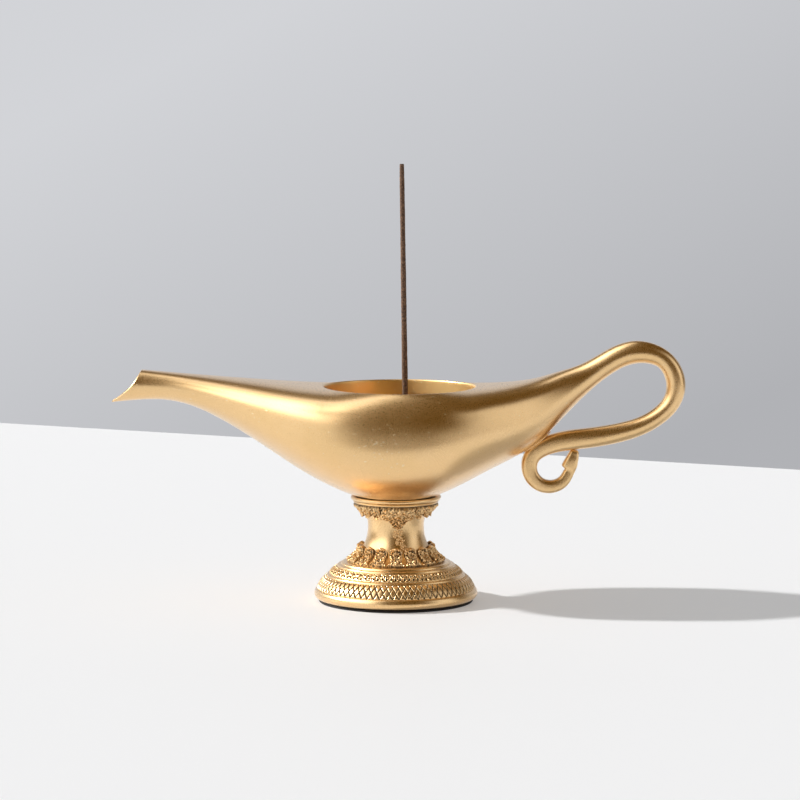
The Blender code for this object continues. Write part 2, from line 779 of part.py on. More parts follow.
def main():
    clear_scene()
    gold = (0.72, 0.47, 0.16)
    make_vessel(make_material("vessel satin gold", gold, 0.32, 1.0))
    make_handle(make_material("handle satin gold", gold, 0.32, 1.0))
    make_foot(make_material("foot antique gold", (0.66, 0.42, 0.15), 0.38, 1.0))
    make_neck_ring(make_material("ring satin gold", gold, 0.34, 1.0))
    make_pad(make_material("black rubber", (0.012, 0.011, 0.011), 0.8, 0.0))
    steel = make_material("plated steel", (0.55, 0.55, 0.54), 0.35, 1.0)
    washer_bottom = WASHER_TOP - WASHER_THICKNESS
    make_screw(
        "foot_screw",
        SCREW_RADIUS,
        BOSS_TOP - SCREW_HOLE / 2 - FIT,
        washer_bottom - FIT,
        SCREW_HEAD_RADIUS,
        SCREW_HEAD_HEIGHT,
        SOCKET_RADIUS,
        steel,
    )
    make_washer(make_material("zinc washer", (0.6, 0.6, 0.6), 0.4, 1.0))
    make_dish(make_material("dish brass", (0.7, 0.5, 0.22), 0.3, 1.0))
    make_holder(make_material("holder brass", (0.75, 0.53, 0.22), 0.25, 1.0))
    make_screw(
        "holder_screw",
        HOLDER_SCREW_RADIUS,
        HOLDER_BOTTOM + HOLDER_THREAD_DEPTH - FIT,
        DISH_UNDERSIDE - FIT,
        HOLDER_HEAD_RADIUS,
        HOLDER_HEAD_HEIGHT,
        HOLDER_SCREW_RADIUS,
        make_material("brass screw", (0.7, 0.5, 0.22), 0.35, 1.0),
    )
    make_stick(make_material("incense", (0.2, 0.11, 0.07), 0.9, 0.0))


main()
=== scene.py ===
"""Looks for the genie lamp incense burner: satin gold skin, relief on the foot, brass dish and joss stick.

Sizes are in millimetres, and become metres when a mesh is made. Profile points are (radius, z).
"""

import json
import math

import bmesh
import bpy
import numpy as np
from mathutils import Matrix, Vector


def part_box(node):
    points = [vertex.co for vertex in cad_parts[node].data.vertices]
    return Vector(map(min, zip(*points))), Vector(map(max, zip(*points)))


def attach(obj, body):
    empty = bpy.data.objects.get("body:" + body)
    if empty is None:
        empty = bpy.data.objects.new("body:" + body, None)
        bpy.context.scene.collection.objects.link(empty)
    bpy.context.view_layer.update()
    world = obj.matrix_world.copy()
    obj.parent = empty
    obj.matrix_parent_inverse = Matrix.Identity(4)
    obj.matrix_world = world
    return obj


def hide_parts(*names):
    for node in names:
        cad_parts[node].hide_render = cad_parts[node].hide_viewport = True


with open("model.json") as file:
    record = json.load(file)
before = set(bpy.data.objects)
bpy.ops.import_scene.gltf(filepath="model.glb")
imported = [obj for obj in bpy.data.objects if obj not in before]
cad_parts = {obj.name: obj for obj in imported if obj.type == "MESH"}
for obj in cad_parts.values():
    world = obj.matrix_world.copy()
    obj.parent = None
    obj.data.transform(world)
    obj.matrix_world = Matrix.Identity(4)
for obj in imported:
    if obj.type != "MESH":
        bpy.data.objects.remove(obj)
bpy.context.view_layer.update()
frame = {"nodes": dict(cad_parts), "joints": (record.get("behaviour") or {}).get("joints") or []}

MM = 0.001
# Points closer than this, in metres, are one point
WELD = 2e-6


def node_size(node):
    """Lowest and highest corner of a CAD node in millimetres."""
    low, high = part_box(node)
    return np.array(low) / MM, np.array(high) / MM


# Levels and reaches taken from the frame
VESSEL_LOW = node_size("vessel")[0]
FOOT_LOW, FOOT_HIGH = node_size("foot")
RING_LOW, RING_HIGH = node_size("neck_ring")
PAD_LOW, PAD_HIGH = node_size("base_pad")
DISH_LOW, DISH_HIGH = node_size("ash_dish")
HOLDER_LOW, HOLDER_HIGH = node_size("stick_holder")

# Vessel
VESSEL_HEIGHT = 40.0
FLOOR_THICKNESS = 3.2
SEAT_Z = VESSEL_LOW[2]
RIM_Z = SEAT_Z + VESSEL_HEIGHT
FLOOR_Z = SEAT_Z + FLOOR_THICKNESS
BOWL_HALF_WIDTH = 36.0
RIM_RADIUS = 27.6
RIM_X = 1.3
RIM_ROUNDING = 0.9
RIM_BLEND = 9.0
BELT_SHARE = 0.55
RIM_SQUARENESS = 1.4
SQUARENESS_FADE = 1.2
BELLY_DROP = 2.8
WALL = 2.3
CUP_DEPTH = 7.0
CUP_FADE = 2.0
CUP_ROUNDING = 1.6
BELOW_CUP = 3.0
SPOUT_REACH = -VESSEL_LOW[0]
SPOUT_TIP_DROP = 5.9
SPOUT_TOP_RISE = 7.0
SPOUT_HALF_WIDTH = 6.2
SPOUT_WALL = 1.7
TIP_ROUNDING = 8.5
SCOOP_RADIUS = 23.05
SCOOP_PAST_TIP = 10.2
SCOOP_ABOVE_RIM = 15.5
SCOOP_CENTRE = (-SPOUT_REACH - SCOOP_PAST_TIP, RIM_Z + SCOOP_ABOVE_RIM)
LIP_ROUNDING = 0.45
TAIL_X = 71.0
TAIL_RISE = 4.4
TAIL_END = np.array((TAIL_X, RIM_Z + TAIL_RISE))
TAIL_RADIUS = 4.7
TAIL_SLOPE = math.radians(34.0)
TAIL_SOLID_FROM = 52.0
BOSS_RADIUS = 6.0
BOSS_HEIGHT = 2.7
BOSS_EDGE = 0.5
BOSS_SUNK = 1.0
# The angle in a half section above which its points are spaced anew, and the numbers of points
SHOULDER = math.radians(38.0)
OUTER_COLUMNS = 57
INNER_COLUMNS = 33
MOUTH_ROWS = 36
SPOUT_ROWS = 90
OPENING_ROWS = 120
TAIL_ROWS = 60
# Stations before which the mouth ends, at the keel and at the crown, and the bowl's middle
KEEL_MOUTH_END = 2.0
CROWN_MOUTH_END = 3.0
BOWL_STATION = 8.0

# Handle
CURL_RADIUS = 7.4
CURL_X = 50.4
CURL_SADDLE = 0.7
CURL_ROD_RADIUS = 3.3
CURL_NECK_RADIUS = 2.0
CURL_START = math.radians(112.0)
CURL_END = math.radians(345.0)
ROD_SIDES = 48
HEAD_LENGTH = 8.0
HEAD_LEAN = math.radians(13.0)
SEAM_START = 47.0
SEAM_END = 56.5
SEAM_DEPTH = 2.9

# Foot
FOOT_BOTTOM = FOOT_LOW[2]
FOOT_TOP = FOOT_HIGH[2]
FOOT_RADIUS = 30.05
WAIST_RADIUS = 10.3
WAIST_Z = 27.4
BEAD_HEIGHT = 0.9
LATTICE_LOW = (29.0, 4.85)
LATTICE_HIGH = (25.5, 9.5)
GRAIN_LOW = (24.6, 10.3)
GRAIN_HIGH = (21.6, 12.9)
CROWN_FOOT = (17.9, 14.85)
COLLAR_LOW = (12.0, 31.6)
COLLAR_EDGE = (15.2, FOOT_TOP - BEAD_HEIGHT)
VINE_TOP = (10.4, 27.5)
VINE_BOTTOM = (13.2, 20.0)
LATTICE_COPIES = 78
GRAIN_COPIES = 46
BAND_DEPTH = 1.3
BAND_SINK = 0.7
FRONT = -math.pi / 2
PETALS = 16
PETAL_LENGTH = 8.3
PETAL_HALF_TURN = 2.7 / 15.5
SCALLOPS = 16
FIRST_SCALLOP = FRONT - math.pi / SCALLOPS
LEAF_LENGTH = 6.0
LEAF_HALF_TURN = math.radians(10.2)
LEAF_DEPTH = 0.5
SIDE_PATINA = 0.75
PENDANT_LENGTH = 10.8
PENDANT_HALF_TURN = math.radians(29.0)
PENDANT_TURN = FRONT + math.radians(3.5)
VINE_BEADS = 170

# Dish, holder and stick
DISH_FLOOR = 5.2
DISH_WALL = 1.0
DISH_FOOT_RADIUS = 15.2
DISH_FOOT_RING = 1.4
DISH_HOLE = 1.3
HOLDER_FLANGE = 1.4
STICK_HOLES = (1.4, 1.7, 1.2)
HOLE_PITCH = 3.7
HOLE_DEPTH = 7.8
STICK_DEPTH = 7.5
STICK_LENGTH = 110.5
STICK_FOOT_RADIUS = 1.05
STICK_TOP_RADIUS = 0.85
STICK_LEAN = math.radians(0.83)
STICK_PIVOT_HEIGHT = 3.9


# Splines and sheets of points


def spline(rows):
    """A natural cubic spline through rows, spaced by their first two columns; it takes a row number."""
    rows = np.array(rows, float)
    spans = np.hypot(*np.diff(rows[:, :2], axis=0).T)
    count = len(rows)
    system = np.eye(count)
    right = np.zeros_like(rows)
    for i in range(1, count - 1):
        before, after = spans[i - 1], spans[i]
        system[i, i - 1 : i + 2] = (before, 2 * (before + after), after)
        right[i] = 6 * ((rows[i + 1] - rows[i]) / after - (rows[i] - rows[i - 1]) / before)
    bends = np.linalg.solve(system, right)

    def at(place):
        i = min(int(place), count - 2)
        share = place - i
        near = 1 - share
        curve = (near**3 - near) * bends[i] + (share**3 - share) * bends[i + 1]
        return near * rows[i] + share * rows[i + 1] + spans[i] ** 2 / 6 * curve

    return at


def find_place(value_at, wanted, low, high):
    """Halves the way from low to high until value_at there is the wanted value; value_at rises."""
    for _ in range(48):
        middle = (low + high) / 2
        if value_at(middle) < wanted:
            low = middle
        else:
            high = middle
    return (low + high) / 2


def ease(count):
    """Shares from 0 to 1, close together at both ends."""
    return (1 - np.cos(np.linspace(0, math.pi, count + 1))) / 2


def arc(start, end, bow, steps):
    """Points from start to end, bowed to the right of the way; the start is left out."""
    start = np.array(start, float)
    end = np.array(end, float)
    way = end - start
    side = np.array((way[1], -way[0])) / np.hypot(*way)
    shares = np.arange(1, steps + 1) / steps
    return [tuple(start + way * s + side * bow * 4 * s * (1 - s)) for s in shares]


def outline_through(*points):
    """An outline of (radius, z) points; a point with a bow and a number of steps is reached by an arc."""
    outline = [points[0]]
    for radius, z, *bend in points[1:]:
        outline += arc(outline[-1], (radius, z), *bend) if bend else [(radius, z)]
    return outline


def round_axis(radius, turn, z):
    """Points round the foot's axis, from numbers or arrays that fit together."""
    radius, turn, z = np.broadcast_arrays(radius, turn, z)
    return np.stack((radius * np.cos(turn), radius * np.sin(turn), z), axis=-1)


def mirrored(sheets):
    """The sheets and their mirror images across the lamp's middle plane."""
    return [*sheets, *(sheet * (1, -1, 1) for sheet in sheets)]


def mesh_from_sheets(name, sheets, patina=None, sharp=40.0):
    """One mesh of grids of points in millimetres whose edges meet, with outward faces."""
    points = []
    faces = []
    start = 0
    for sheet in sheets:
        rows, columns = sheet.shape[:2]
        index = start + np.arange(rows * columns).reshape(rows, columns)
        quads = np.stack((index[:-1, :-1], index[1:, :-1], index[1:, 1:], index[:-1, 1:]), axis=-1)
        faces.append(quads.reshape(-1, 4))
        points.append(sheet.reshape(-1, 3))
        start += rows * columns
    mesh = bpy.data.meshes.new(name)
    mesh.from_pydata((np.concatenate(points) * MM).tolist(), [], np.concatenate(faces).tolist())
    if patina is not None:
        values = np.concatenate([layer.reshape(-1) for layer in patina]).astype(np.float32)
        mesh.attributes.new("patina", "FLOAT", "POINT").data.foreach_set("value", values)
    return close_mesh(mesh, sharp)


def close_mesh(mesh, sharp=40.0):
    """Welds the mesh's seams, turns its faces outwards and shades it smooth apart from sharp edges."""
    work = bmesh.new()
    work.from_mesh(mesh)
    bmesh.ops.remove_doubles(work, verts=work.verts, dist=WELD)
    bmesh.ops.dissolve_degenerate(work, edges=work.edges, dist=WELD / 4)
    bmesh.ops.recalc_face_normals(work, faces=work.faces)
    work.to_mesh(mesh)
    work.free()
    mesh.shade_smooth()
    mesh.set_sharp_from_angle(angle=math.radians(sharp))
    return mesh


def placed(name, data):
    """A new object in the scene."""
    made = bpy.data.objects.new(name, data)
    bpy.context.scene.collection.objects.link(made)
    return made


def after_modifiers(maker, name):
    """The mesh that an object's modifiers make, under a name of its own; the object is removed."""
    graph = bpy.context.evaluated_depsgraph_get()
    mesh = bpy.data.meshes.new_from_object(maker.evaluated_get(graph))
    mesh.name = name
    bpy.data.objects.remove(maker)
    return mesh


def add_piece(mesh, material, body, replaces=()):
    """Puts a finished mesh in the scene as a piece of the same name that rides on a body."""
    piece = placed(mesh.name, mesh)
    mesh.materials.clear()
    mesh.materials.append(material)
    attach(piece, body)
    if replaces:
        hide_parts(*replaces)


def turned_mesh(name, outline, segments, sharp=40.0):
    """Spins an outline of (radius, z) points; its ends lie on the axis, or it is a closed loop."""
    turns = np.linspace(0, 2 * math.pi, segments + 1)
    radius, z = np.array(outline, float).T[..., None]
    return mesh_from_sheets(name, [round_axis(radius, turns, z)], sharp=sharp)


# Node trees


class Graph:
    """A node tree under construction; its methods take sockets or fixed values, and give back a socket."""

    def __init__(self, tree):
        self.nodes = tree.nodes
        self.link = tree.links.new

    def put(self, value, socket):
        """Feeds an input from a socket, or sets it to a number or a colour."""
        if isinstance(value, bpy.types.NodeSocket):
            self.link(value, socket)
        elif isinstance(value, tuple):
            socket.default_value = (*value, 1.0)
        else:
            socket.default_value = value

    def calc(self, operation, *values, clamp=False):
        """A sum, a product or another operation on numbers."""
        made = self.nodes.new("ShaderNodeMath")
        made.operation = operation
        made.use_clamp = clamp
        for value, socket in zip(values, made.inputs):
            self.put(value, socket)
        return made.outputs[0]

    def split(self, vector):
        """The x, y and z of a vector."""
        made = self.nodes.new("ShaderNodeSeparateXYZ")
        self.link(vector, made.inputs[0])
        return made.outputs

    def place(self):
        """Where a point lies in its object."""
        return self.nodes.new("ShaderNodeTexCoord").outputs["Object"]

    def noise(self, place, per_millimetre, detail=2.0, rough=0.5):
        """A noise pattern with the given number of features to the millimetre."""
        made = self.nodes.new("ShaderNodeTexNoise")
        made.inputs["Scale"].default_value = per_millimetre / MM
        made.inputs["Detail"].default_value = detail
        made.inputs["Roughness"].default_value = rough
        self.link(place, made.inputs["Vector"])
        return made.outputs["Fac"]

    def remap(self, value, low, high, new_low=0.0, new_high=1.0):
        """The value's range from low to high stretched to a new range, and cut off at the ends."""
        made = self.nodes.new("ShaderNodeMapRange")
        numbers = {"From Min": low, "From Max": high, "To Min": new_low, "To Max": new_high}
        for name, number in numbers.items():
            made.inputs[name].default_value = number
        self.link(value, made.inputs["Value"])
        return made.outputs["Result"]

    def mix(self, share, first, second):
        """The first colour where the share is 0, the second where it is 1."""
        made = self.nodes.new("ShaderNodeMix")
        made.data_type = "RGBA"
        self.link(share, made.inputs["Factor"])
        for name, colour in (("A", first), ("B", second)):
            self.put(colour, next(s for s in made.inputs if s.name == name and s.type == "RGBA"))
        return next(s for s in made.outputs if s.type == "RGBA")

    def bumped(self, layers):
        """The normal after layers of bumps, each a height, its strength and its depth in millimetres."""
        normal = None
        for height, strength, depth in layers:
            made = self.nodes.new("ShaderNodeBump")
            made.inputs["Strength"].default_value = strength
            made.inputs["Distance"].default_value = depth * MM
            self.link(height, made.inputs["Height"])
            if normal is not None:
                self.link(normal, made.inputs["Normal"])
            normal = made.outputs["Normal"]
        return normal


# Vessel


def vessel_stations():
    """Rows of crown x, keel x, crown z, keel z and half width, from the spout's tip to the tail."""
    low = SEAT_Z - BELLY_DROP
    climb = RIM_Z - SPOUT_TIP_DROP - low
    rim_left = RIM_X - RIM_RADIUS
    spout_run = SPOUT_REACH + rim_left
    taper = BOWL_HALF_WIDTH - SPOUT_HALF_WIDTH
    # Shares of the reach, of the keel's climb to the tip and of the bowl's extra width
    spout_shape = (
        (1.0, 1.0, 0.0),
        (0.9, 1.024, 0.005),
        (0.82, 1.026, 0.03),
        (0.72, 0.968, 0.11),
        (0.61, 0.825, 0.255),
        (0.48, 0.602, 0.48),
        (0.335, 0.335, 0.745),
        (0.19, 0.125, 0.93),
    )
    rows = []
    for reach, climbed, width in spout_shape:
        x = -SPOUT_REACH * reach
        share = max(0.0, (rim_left - x) / spout_run)
        crown = RIM_Z + SPOUT_TOP_RISE * share
        rows.append((x, x, crown, low + climb * climbed, SPOUT_HALF_WIDTH + taper * width))
    rows.append((0.0, 0.0, RIM_Z, low, BOWL_HALF_WIDTH))

    across = np.array((-math.sin(TAIL_SLOPE), math.cos(TAIL_SLOPE)))
    crown_end = TAIL_END + across * TAIL_RADIUS
    keel_end = TAIL_END - across * TAIL_RADIUS
    # Shares of the crown's and the keel's reach, of each one's climb, and of the bowl's extra width
    tail_shape = (
        (0.27, 0.27, 0.0, 0.115, 0.945),
        (0.45, 0.47, 0.03, 0.287, 0.74),
        (0.62, 0.655, 0.14, 0.455, 0.47),
        (0.745, 0.765, 0.32, 0.605, 0.275),
        (0.865, 0.87, 0.62, 0.79, 0.115),
        (1.0, 1.0, 1.0, 1.0, 0.0),
    )
    for crown_x, keel_x, risen, climbed, width in tail_shape:
        crown_z = RIM_Z + (crown_end[1] - RIM_Z) * risen
        keel_z = low + (keel_end[1] - low) * climbed
        half_width = TAIL_RADIUS + (BOWL_HALF_WIDTH - TAIL_RADIUS) * width
        rows.append((crown_end[0] * crown_x, keel_end[0] * keel_x, crown_z, keel_z, half_width))
    return rows


HULL = spline(vessel_stations())
LAST_STATION = len(vessel_stations()) - 1.0


def keel_station(at, x):
    """The station behind the bowl's middle where the keel of this spline of stations is at x."""
    return find_place(lambda station: at(station)[1], x, BOWL_STATION, LAST_STATION)


def keel_touch():
    """Where the curl touches the vessel's underside, and the way outwards there, as (x, z) pairs."""
    place = keel_station(HULL, CURL_X)
    step = 0.02
    before, after = (HULL(place + side)[[1, 3]] for side in (-step, step))
    way = (after - before) / np.hypot(*(after - before))
    return HULL(place)[[1, 3]], np.array((way[1], -way[0]))


def handle_rows():
    """Rows of x, z and rod radius from the tail round the loop and the curl to the curl's neck."""
    touch, outward = keel_touch()
    centre = touch + outward * (CURL_RADIUS + CURL_ROD_RADIUS - CURL_SADDLE)
    # Offsets in x and z from the tail's end, and the rod's radius there
    loop = (
        (5.6, 3.6, 4.25),
        (10.9, 6.5, 4.2),
        (16.4, 7.95, 4.15),
        (22.0, 7.5, 3.8),
        (26.9, 5.2, 3.45),
        (30.2, 0.9, 3.5),
        (31.4, -4.7, 3.5),
        (30.0, -10.0, 3.35),
        (25.9, -14.8, 3.25),
        (19.5, -18.8, 3.3),
        (10.0, -21.8, 3.55),
        (-1.0, -23.6, 3.7),
        (-9.0, -24.6, 3.65),
    )
    rows = [(*TAIL_END, TAIL_RADIUS)]
    rows += [(TAIL_END[0] + x, TAIL_END[1] + z, radius) for x, z, radius in loop]
    for share in np.linspace(0.0, 1.0, 8):
        angle = CURL_START + (CURL_END - CURL_START) * share
        radius = CURL_ROD_RADIUS + (CURL_NECK_RADIUS - CURL_ROD_RADIUS) * share
        rows.append((*(centre + CURL_RADIUS * np.array((math.cos(angle), math.sin(angle)))), radius))
    return rows


def handle_root_stations():
    """The handle's first rows in the same form, so that the tail runs into the rod without a break."""
    path = handle_rows()
    at = spline(path)
    rows = []
    for k in (1, 2, 3):
        step = 0.01
        x, z, radius = at(float(k))
        way = (at(k + step) - at(k - step))[:2]
        across = np.array((-way[1], way[0])) / np.hypot(*way) * radius
        rows.append((x + across[0], x - across[0], z + across[1], z - across[1], radius))
    return rows


STATIONS = spline(vessel_stations() + handle_root_stations())


def nearness(x, fade):
    """1 over the opening, falling towards 0 along the spout and the tail."""
    away = max(0.0, abs(x - RIM_X) - RIM_RADIUS) / RIM_RADIUS
    return 1.0 / (1.0 + (fade * away) ** 2)


def smooth_step(value, low, high):
    """Rises softly from 0 at low to 1 at high."""
    share = np.clip((value - low) / (high - low), 0, 1)
    return share * share * (3 - 2 * share)


def section(place, inner, angles):
    """Points of the vessel's half section at a station, for angles from -90 at the keel to 90 degrees."""
    crown_x, keel_x, crown_z, keel_z, half_width = STATIONS(place)
    crown = np.array((crown_x, crown_z))
    keel = np.array((keel_x, keel_z))
    up = (crown - keel) / np.hypot(*(crown - keel))
    level = RIM_Z
    if inner:
        width_share = min(1.0, max(0.0, half_width / SPOUT_HALF_WIDTH - 1.0))
        wall = SPOUT_WALL + (WALL - SPOUT_WALL) * width_share
        crown = crown - up * (wall + (CUP_DEPTH - WALL) * nearness(crown_x, CUP_FADE))
        keel = keel + up * wall
        half_width -= wall
        level = RIM_Z - CUP_DEPTH
    else:
        past = (-keel_x - (SPOUT_REACH - TIP_ROUNDING)) / TIP_ROUNDING
        narrowest = 0.003
        if past > 0:
            half_width *= math.sqrt(max(1 - past**2, narrowest))
    roundness = smooth_step(place, LAST_STATION - 3, LAST_STATION)
    belt = keel + (crown - keel) * (BELT_SHARE + (0.5 - BELT_SHARE) * roundness)
    power = 2.0 + RIM_SQUARENESS * nearness(belt[0], SQUARENESS_FADE) * (1 - roundness)
    reach = RIM_RADIUS**2 - (belt[0] - RIM_X) ** 2
    if reach > 0:
        widest_chord = 0.97
        chord = min(math.sqrt(reach) / half_width, widest_chord)
        inwards = smooth_step(RIM_RADIUS - abs(belt[0] - RIM_X), 0.0, RIM_BLEND)
        level += (crown_z - RIM_Z) * (1 - inwards)
        crown = np.array((crown[0], belt[1] + (level - belt[1]) / (1 - chord**power) ** (1 / power)))
    side = np.cos(angles)
    rise = np.sin(angles)
    bend = np.where(rise > 0, power, 2.0)
    size = (np.abs(side) ** bend + np.abs(rise) ** bend) ** (-1 / bend)
    share = (size * np.abs(rise))[:, None]
    middle = belt + np.where(rise[:, None] > 0, (crown - belt) * share, (keel - belt) * share)
    return np.stack((middle[:, 0], half_width * size * side, middle[:, 1]), axis=-1)


def cut_away(points, opening_radius, scoop_radius):
    """True where a point of the skin lies in the round opening or in the scoop of the spout's mouth."""
    x, y, z = points.T
    in_opening = ((x - RIM_X) ** 2 + y**2 < opening_radius**2) & (z > RIM_Z - CUP_DEPTH - BELOW_CUP)
    in_scoop = (x - SCOOP_CENTRE[0]) ** 2 + (z - SCOOP_CENTRE[1]) ** 2 < scoop_radius**2
    return in_opening | in_scoop


def half_ring(place, inner, opening_radius, scoop_radius, columns, open_here):
    """The half section's points from the keel up to the crown, or up to where an opening cuts it."""
    top = math.pi / 2
    if open_here:
        tries = 241
        steps = np.linspace(-math.pi / 2, math.pi / 2, tries)
        removed = cut_away(section(place, inner, steps), opening_radius, scoop_radius)
        if removed.any():
            first = int(np.argmax(removed))
            low, high = steps[max(first - 1, 0)], steps[first]

            def is_removed(angle):
                point = section(place, inner, np.array((angle,)))
                return float(cut_away(point, opening_radius, scoop_radius)[0])

            top = find_place(is_removed, 0.5, low, high)
    shoulder = SHOULDER
    if not opening_radius:
        shoulder = -math.pi / 2 + (top + math.pi / 2) * (SHOULDER / math.pi + 0.5)
    lower = columns * 5 // 8
    below = np.linspace(-math.pi / 2, shoulder, lower, endpoint=False)
    above = np.linspace(shoulder, top, columns - lower)
    return section(place, inner, np.concatenate((below, above)))


def skin_sheet(inner, opening_radius, scoop_radius, columns):
    """Half of the outer or inner skin, with its edge at the mouth and its edge along the opening."""

    def crown_x(place):
        return section(place, inner, np.array((math.pi / 2,)))[0, 0]

    def past_scoop(angle, limit):
        def reach(place):
            x, _, z = section(place, inner, np.array((angle,)))[0]
            return math.hypot(x - SCOOP_CENTRE[0], z - SCOOP_CENTRE[1])

        return find_place(reach, scoop_radius, 0.0, limit)

    start = past_scoop(-math.pi / 2, KEEL_MOUTH_END) if inner else 0.0
    mouth_end = past_scoop(math.pi / 2, CROWN_MOUTH_END)
    left = find_place(crown_x, RIM_X - opening_radius, KEEL_MOUTH_END, LAST_STATION)
    end = keel_station(STATIONS, TAIL_SOLID_FROM) if inner else LAST_STATION
    mouth = start + (mouth_end - start) * ease(MOUTH_ROWS)
    spout = mouth_end + (left - mouth_end) * ease(SPOUT_ROWS)
    turns = np.linspace(0, math.pi, OPENING_ROWS + 1)
    bowl = [
        find_place(crown_x, RIM_X - opening_radius * math.cos(turn), left - 0.1, LAST_STATION)
        for turn in turns
    ]
    tail = bowl[-1] + (end - bowl[-1]) * ease(TAIL_ROWS)
    # Stations, the radii of the opening and of the scoop there, and the rows that they cut
    stretches = (
        (mouth, 0.0, scoop_radius, range(MOUTH_ROWS)),
        (spout[1:-1], 0.0, 0.0, ()),
        (bowl, opening_radius, 0.0, range(1, OPENING_ROWS)),
        (tail[1:], 0.0, 0.0, ()),
    )
    rows = []
    for places, opening, scoop, open_rows in stretches:
        for k, place in enumerate(places):
            rows.append(half_ring(place, inner, opening, scoop, columns, k in open_rows))
    first = len(mouth) + len(spout) - 2
    sheet = np.array(rows)
    sheet[:, 0, 1] = 0.0
    for k in [*range(MOUTH_ROWS, first + 1), *range(first + OPENING_ROWS, len(rows))]:
        sheet[k, -1, 1] = 0.0
    return sheet, sheet[: MOUTH_ROWS + 1, -1].copy(), sheet[first : first + OPENING_ROWS + 1, -1].copy()


def rim_strip(edge, level, rounding, upwards):
    """Rounds the opening's edge: from the skin's edge curve over to the straight wall of the opening."""
    turn = np.arctan2(edge[:, 1], edge[:, 0] - RIM_X)
    wall = np.stack((RIM_X + RIM_RADIUS * np.cos(turn), RIM_RADIUS * np.sin(turn)), axis=-1)
    corner = np.column_stack((wall, np.full(len(edge), level)))
    straight = np.column_stack((wall, np.full(len(edge), level + (rounding if upwards else -rounding))))
    rows = []
    for share in np.linspace(0, 1, 9):
        near = 1 - share
        rows.append(near**2 * edge + 2 * near * share * corner + share**2 * straight)
    strip = np.array(rows)
    strip[:, (0, -1), 1] = 0.0
    return strip


def lip_strip(outer, inner):
    """The rounded lip of the spout's mouth, between the outer and the inner skin's edge on the scoop."""

    def on_scoop(edge):
        x, z = edge[:, 0] - SCOOP_CENTRE[0], edge[:, 2] - SCOOP_CENTRE[1]
        return np.arctan2(z, x), np.hypot(x, z)

    outer_angle, outer_radius = on_scoop(outer)
    inner_angle, inner_radius = on_scoop(inner)
    rows = []
    for share in np.linspace(0, 1, 13):
        along = (1 - math.cos(math.pi * share)) / 2
        angle = outer_angle + (inner_angle - outer_angle) * along
        radius = outer_radius + (inner_radius - outer_radius) * along
        radius = radius - LIP_ROUNDING * math.sin(math.pi * share)
        y = outer[:, 1] + (inner[:, 1] - outer[:, 1]) * along
        x = SCOOP_CENTRE[0] + radius * np.cos(angle)
        rows.append(np.column_stack((x, y, SCOOP_CENTRE[1] + radius * np.sin(angle))))
    return np.array(rows)


def flattened(sheet, level):
    """The sheet with nothing below a level."""
    sheet = sheet.copy()
    sheet[..., 2] = np.maximum(sheet[..., 2], level)
    return sheet


def make_vessel(material):
    scoop = SCOOP_RADIUS + LIP_ROUNDING
    outer, outer_mouth, outer_rim = skin_sheet(False, RIM_RADIUS + RIM_ROUNDING, scoop, OUTER_COLUMNS)
    inner, inner_mouth, inner_rim = skin_sheet(True, RIM_RADIUS + CUP_ROUNDING, scoop, INNER_COLUMNS)
    upper = rim_strip(outer_rim, RIM_Z, RIM_ROUNDING, False)
    lower = rim_strip(inner_rim, RIM_Z - CUP_DEPTH, CUP_ROUNDING, True)
    band_rows = np.linspace(0, 1, 7)[:, None, None]
    band = upper[-1] * (1 - band_rows) + lower[-1] * band_rows
    lip = lip_strip(outer_mouth, inner_mouth)
    lip = np.concatenate((lip[:, :1] * (1, 0, 1), lip), axis=1)
    tip = np.stack((outer[0], outer[0] * (1, 0, 1)))
    tail_centre = outer[-1, len(outer[-1]) // 2] * (1, 0, 1)
    tail_cap = np.stack((outer[-1], np.broadcast_to(tail_centre, outer[-1].shape)))
    back = inner[-1]
    hollow = (1.5, 0, 0)
    centre = back[len(back) // 2] * (1, 0, 1) + hollow
    back_cap = np.stack([back + (centre - back) * share for share in np.linspace(0, 1, 5)])
    sheets = [flattened(outer, SEAT_Z), tip, tail_cap, upper, band, lower, lip]
    sheets += [flattened(inner, FLOOR_Z), flattened(back_cap, FLOOR_Z)]
    skin = mesh_from_sheets("vessel_skin", mirrored(sheets), sharp=60.0)
    add_piece(skin, material, "lamp", ["vessel"])

    bottom, top = FLOOR_Z - BOSS_SUNK, FLOOR_Z + BOSS_HEIGHT
    boss = [(0, bottom), (BOSS_RADIUS, bottom), (BOSS_RADIUS, top - BOSS_EDGE)]
    boss += [(BOSS_RADIUS - BOSS_EDGE, top), (0, top)]
    add_piece(turned_mesh("bowl_boss", boss, 64), material, "lamp")


# Handle


def rod_sheet(path, sides, power=2.0):
    """Rings round a path in the middle plane; its rows are x, z, reach to each side and half depth.

    A power above 2, one number or one for each row, flattens the rings' faces.
    """
    powers = np.broadcast_to(power, len(path))
    ways = np.gradient(path[:, :2], axis=0)
    ways /= np.hypot(*ways.T)[:, None]
    turns = np.linspace(0, 2 * math.pi, sides + 1)
    rows = []
    for (x, z, left, right, half_depth), way, power in zip(path, ways, powers):
        out, y = (np.sign(c) * np.abs(c) ** (2 / power) for c in (np.cos(turns), np.sin(turns)))
        out = out * np.where(out > 0, left, right)
        y = half_depth * y
        rows.append(np.column_stack((x - way[1] * out, y, z + way[0] * out)))
    return np.array(rows)


def capped(sheet):
    """A tube of rings with its ends closed."""
    first, last = (np.broadcast_to(ring[:-1].mean(axis=0), ring.shape) for ring in (sheet[0], sheet[-1]))
    return np.concatenate((first[None], sheet, last[None]))


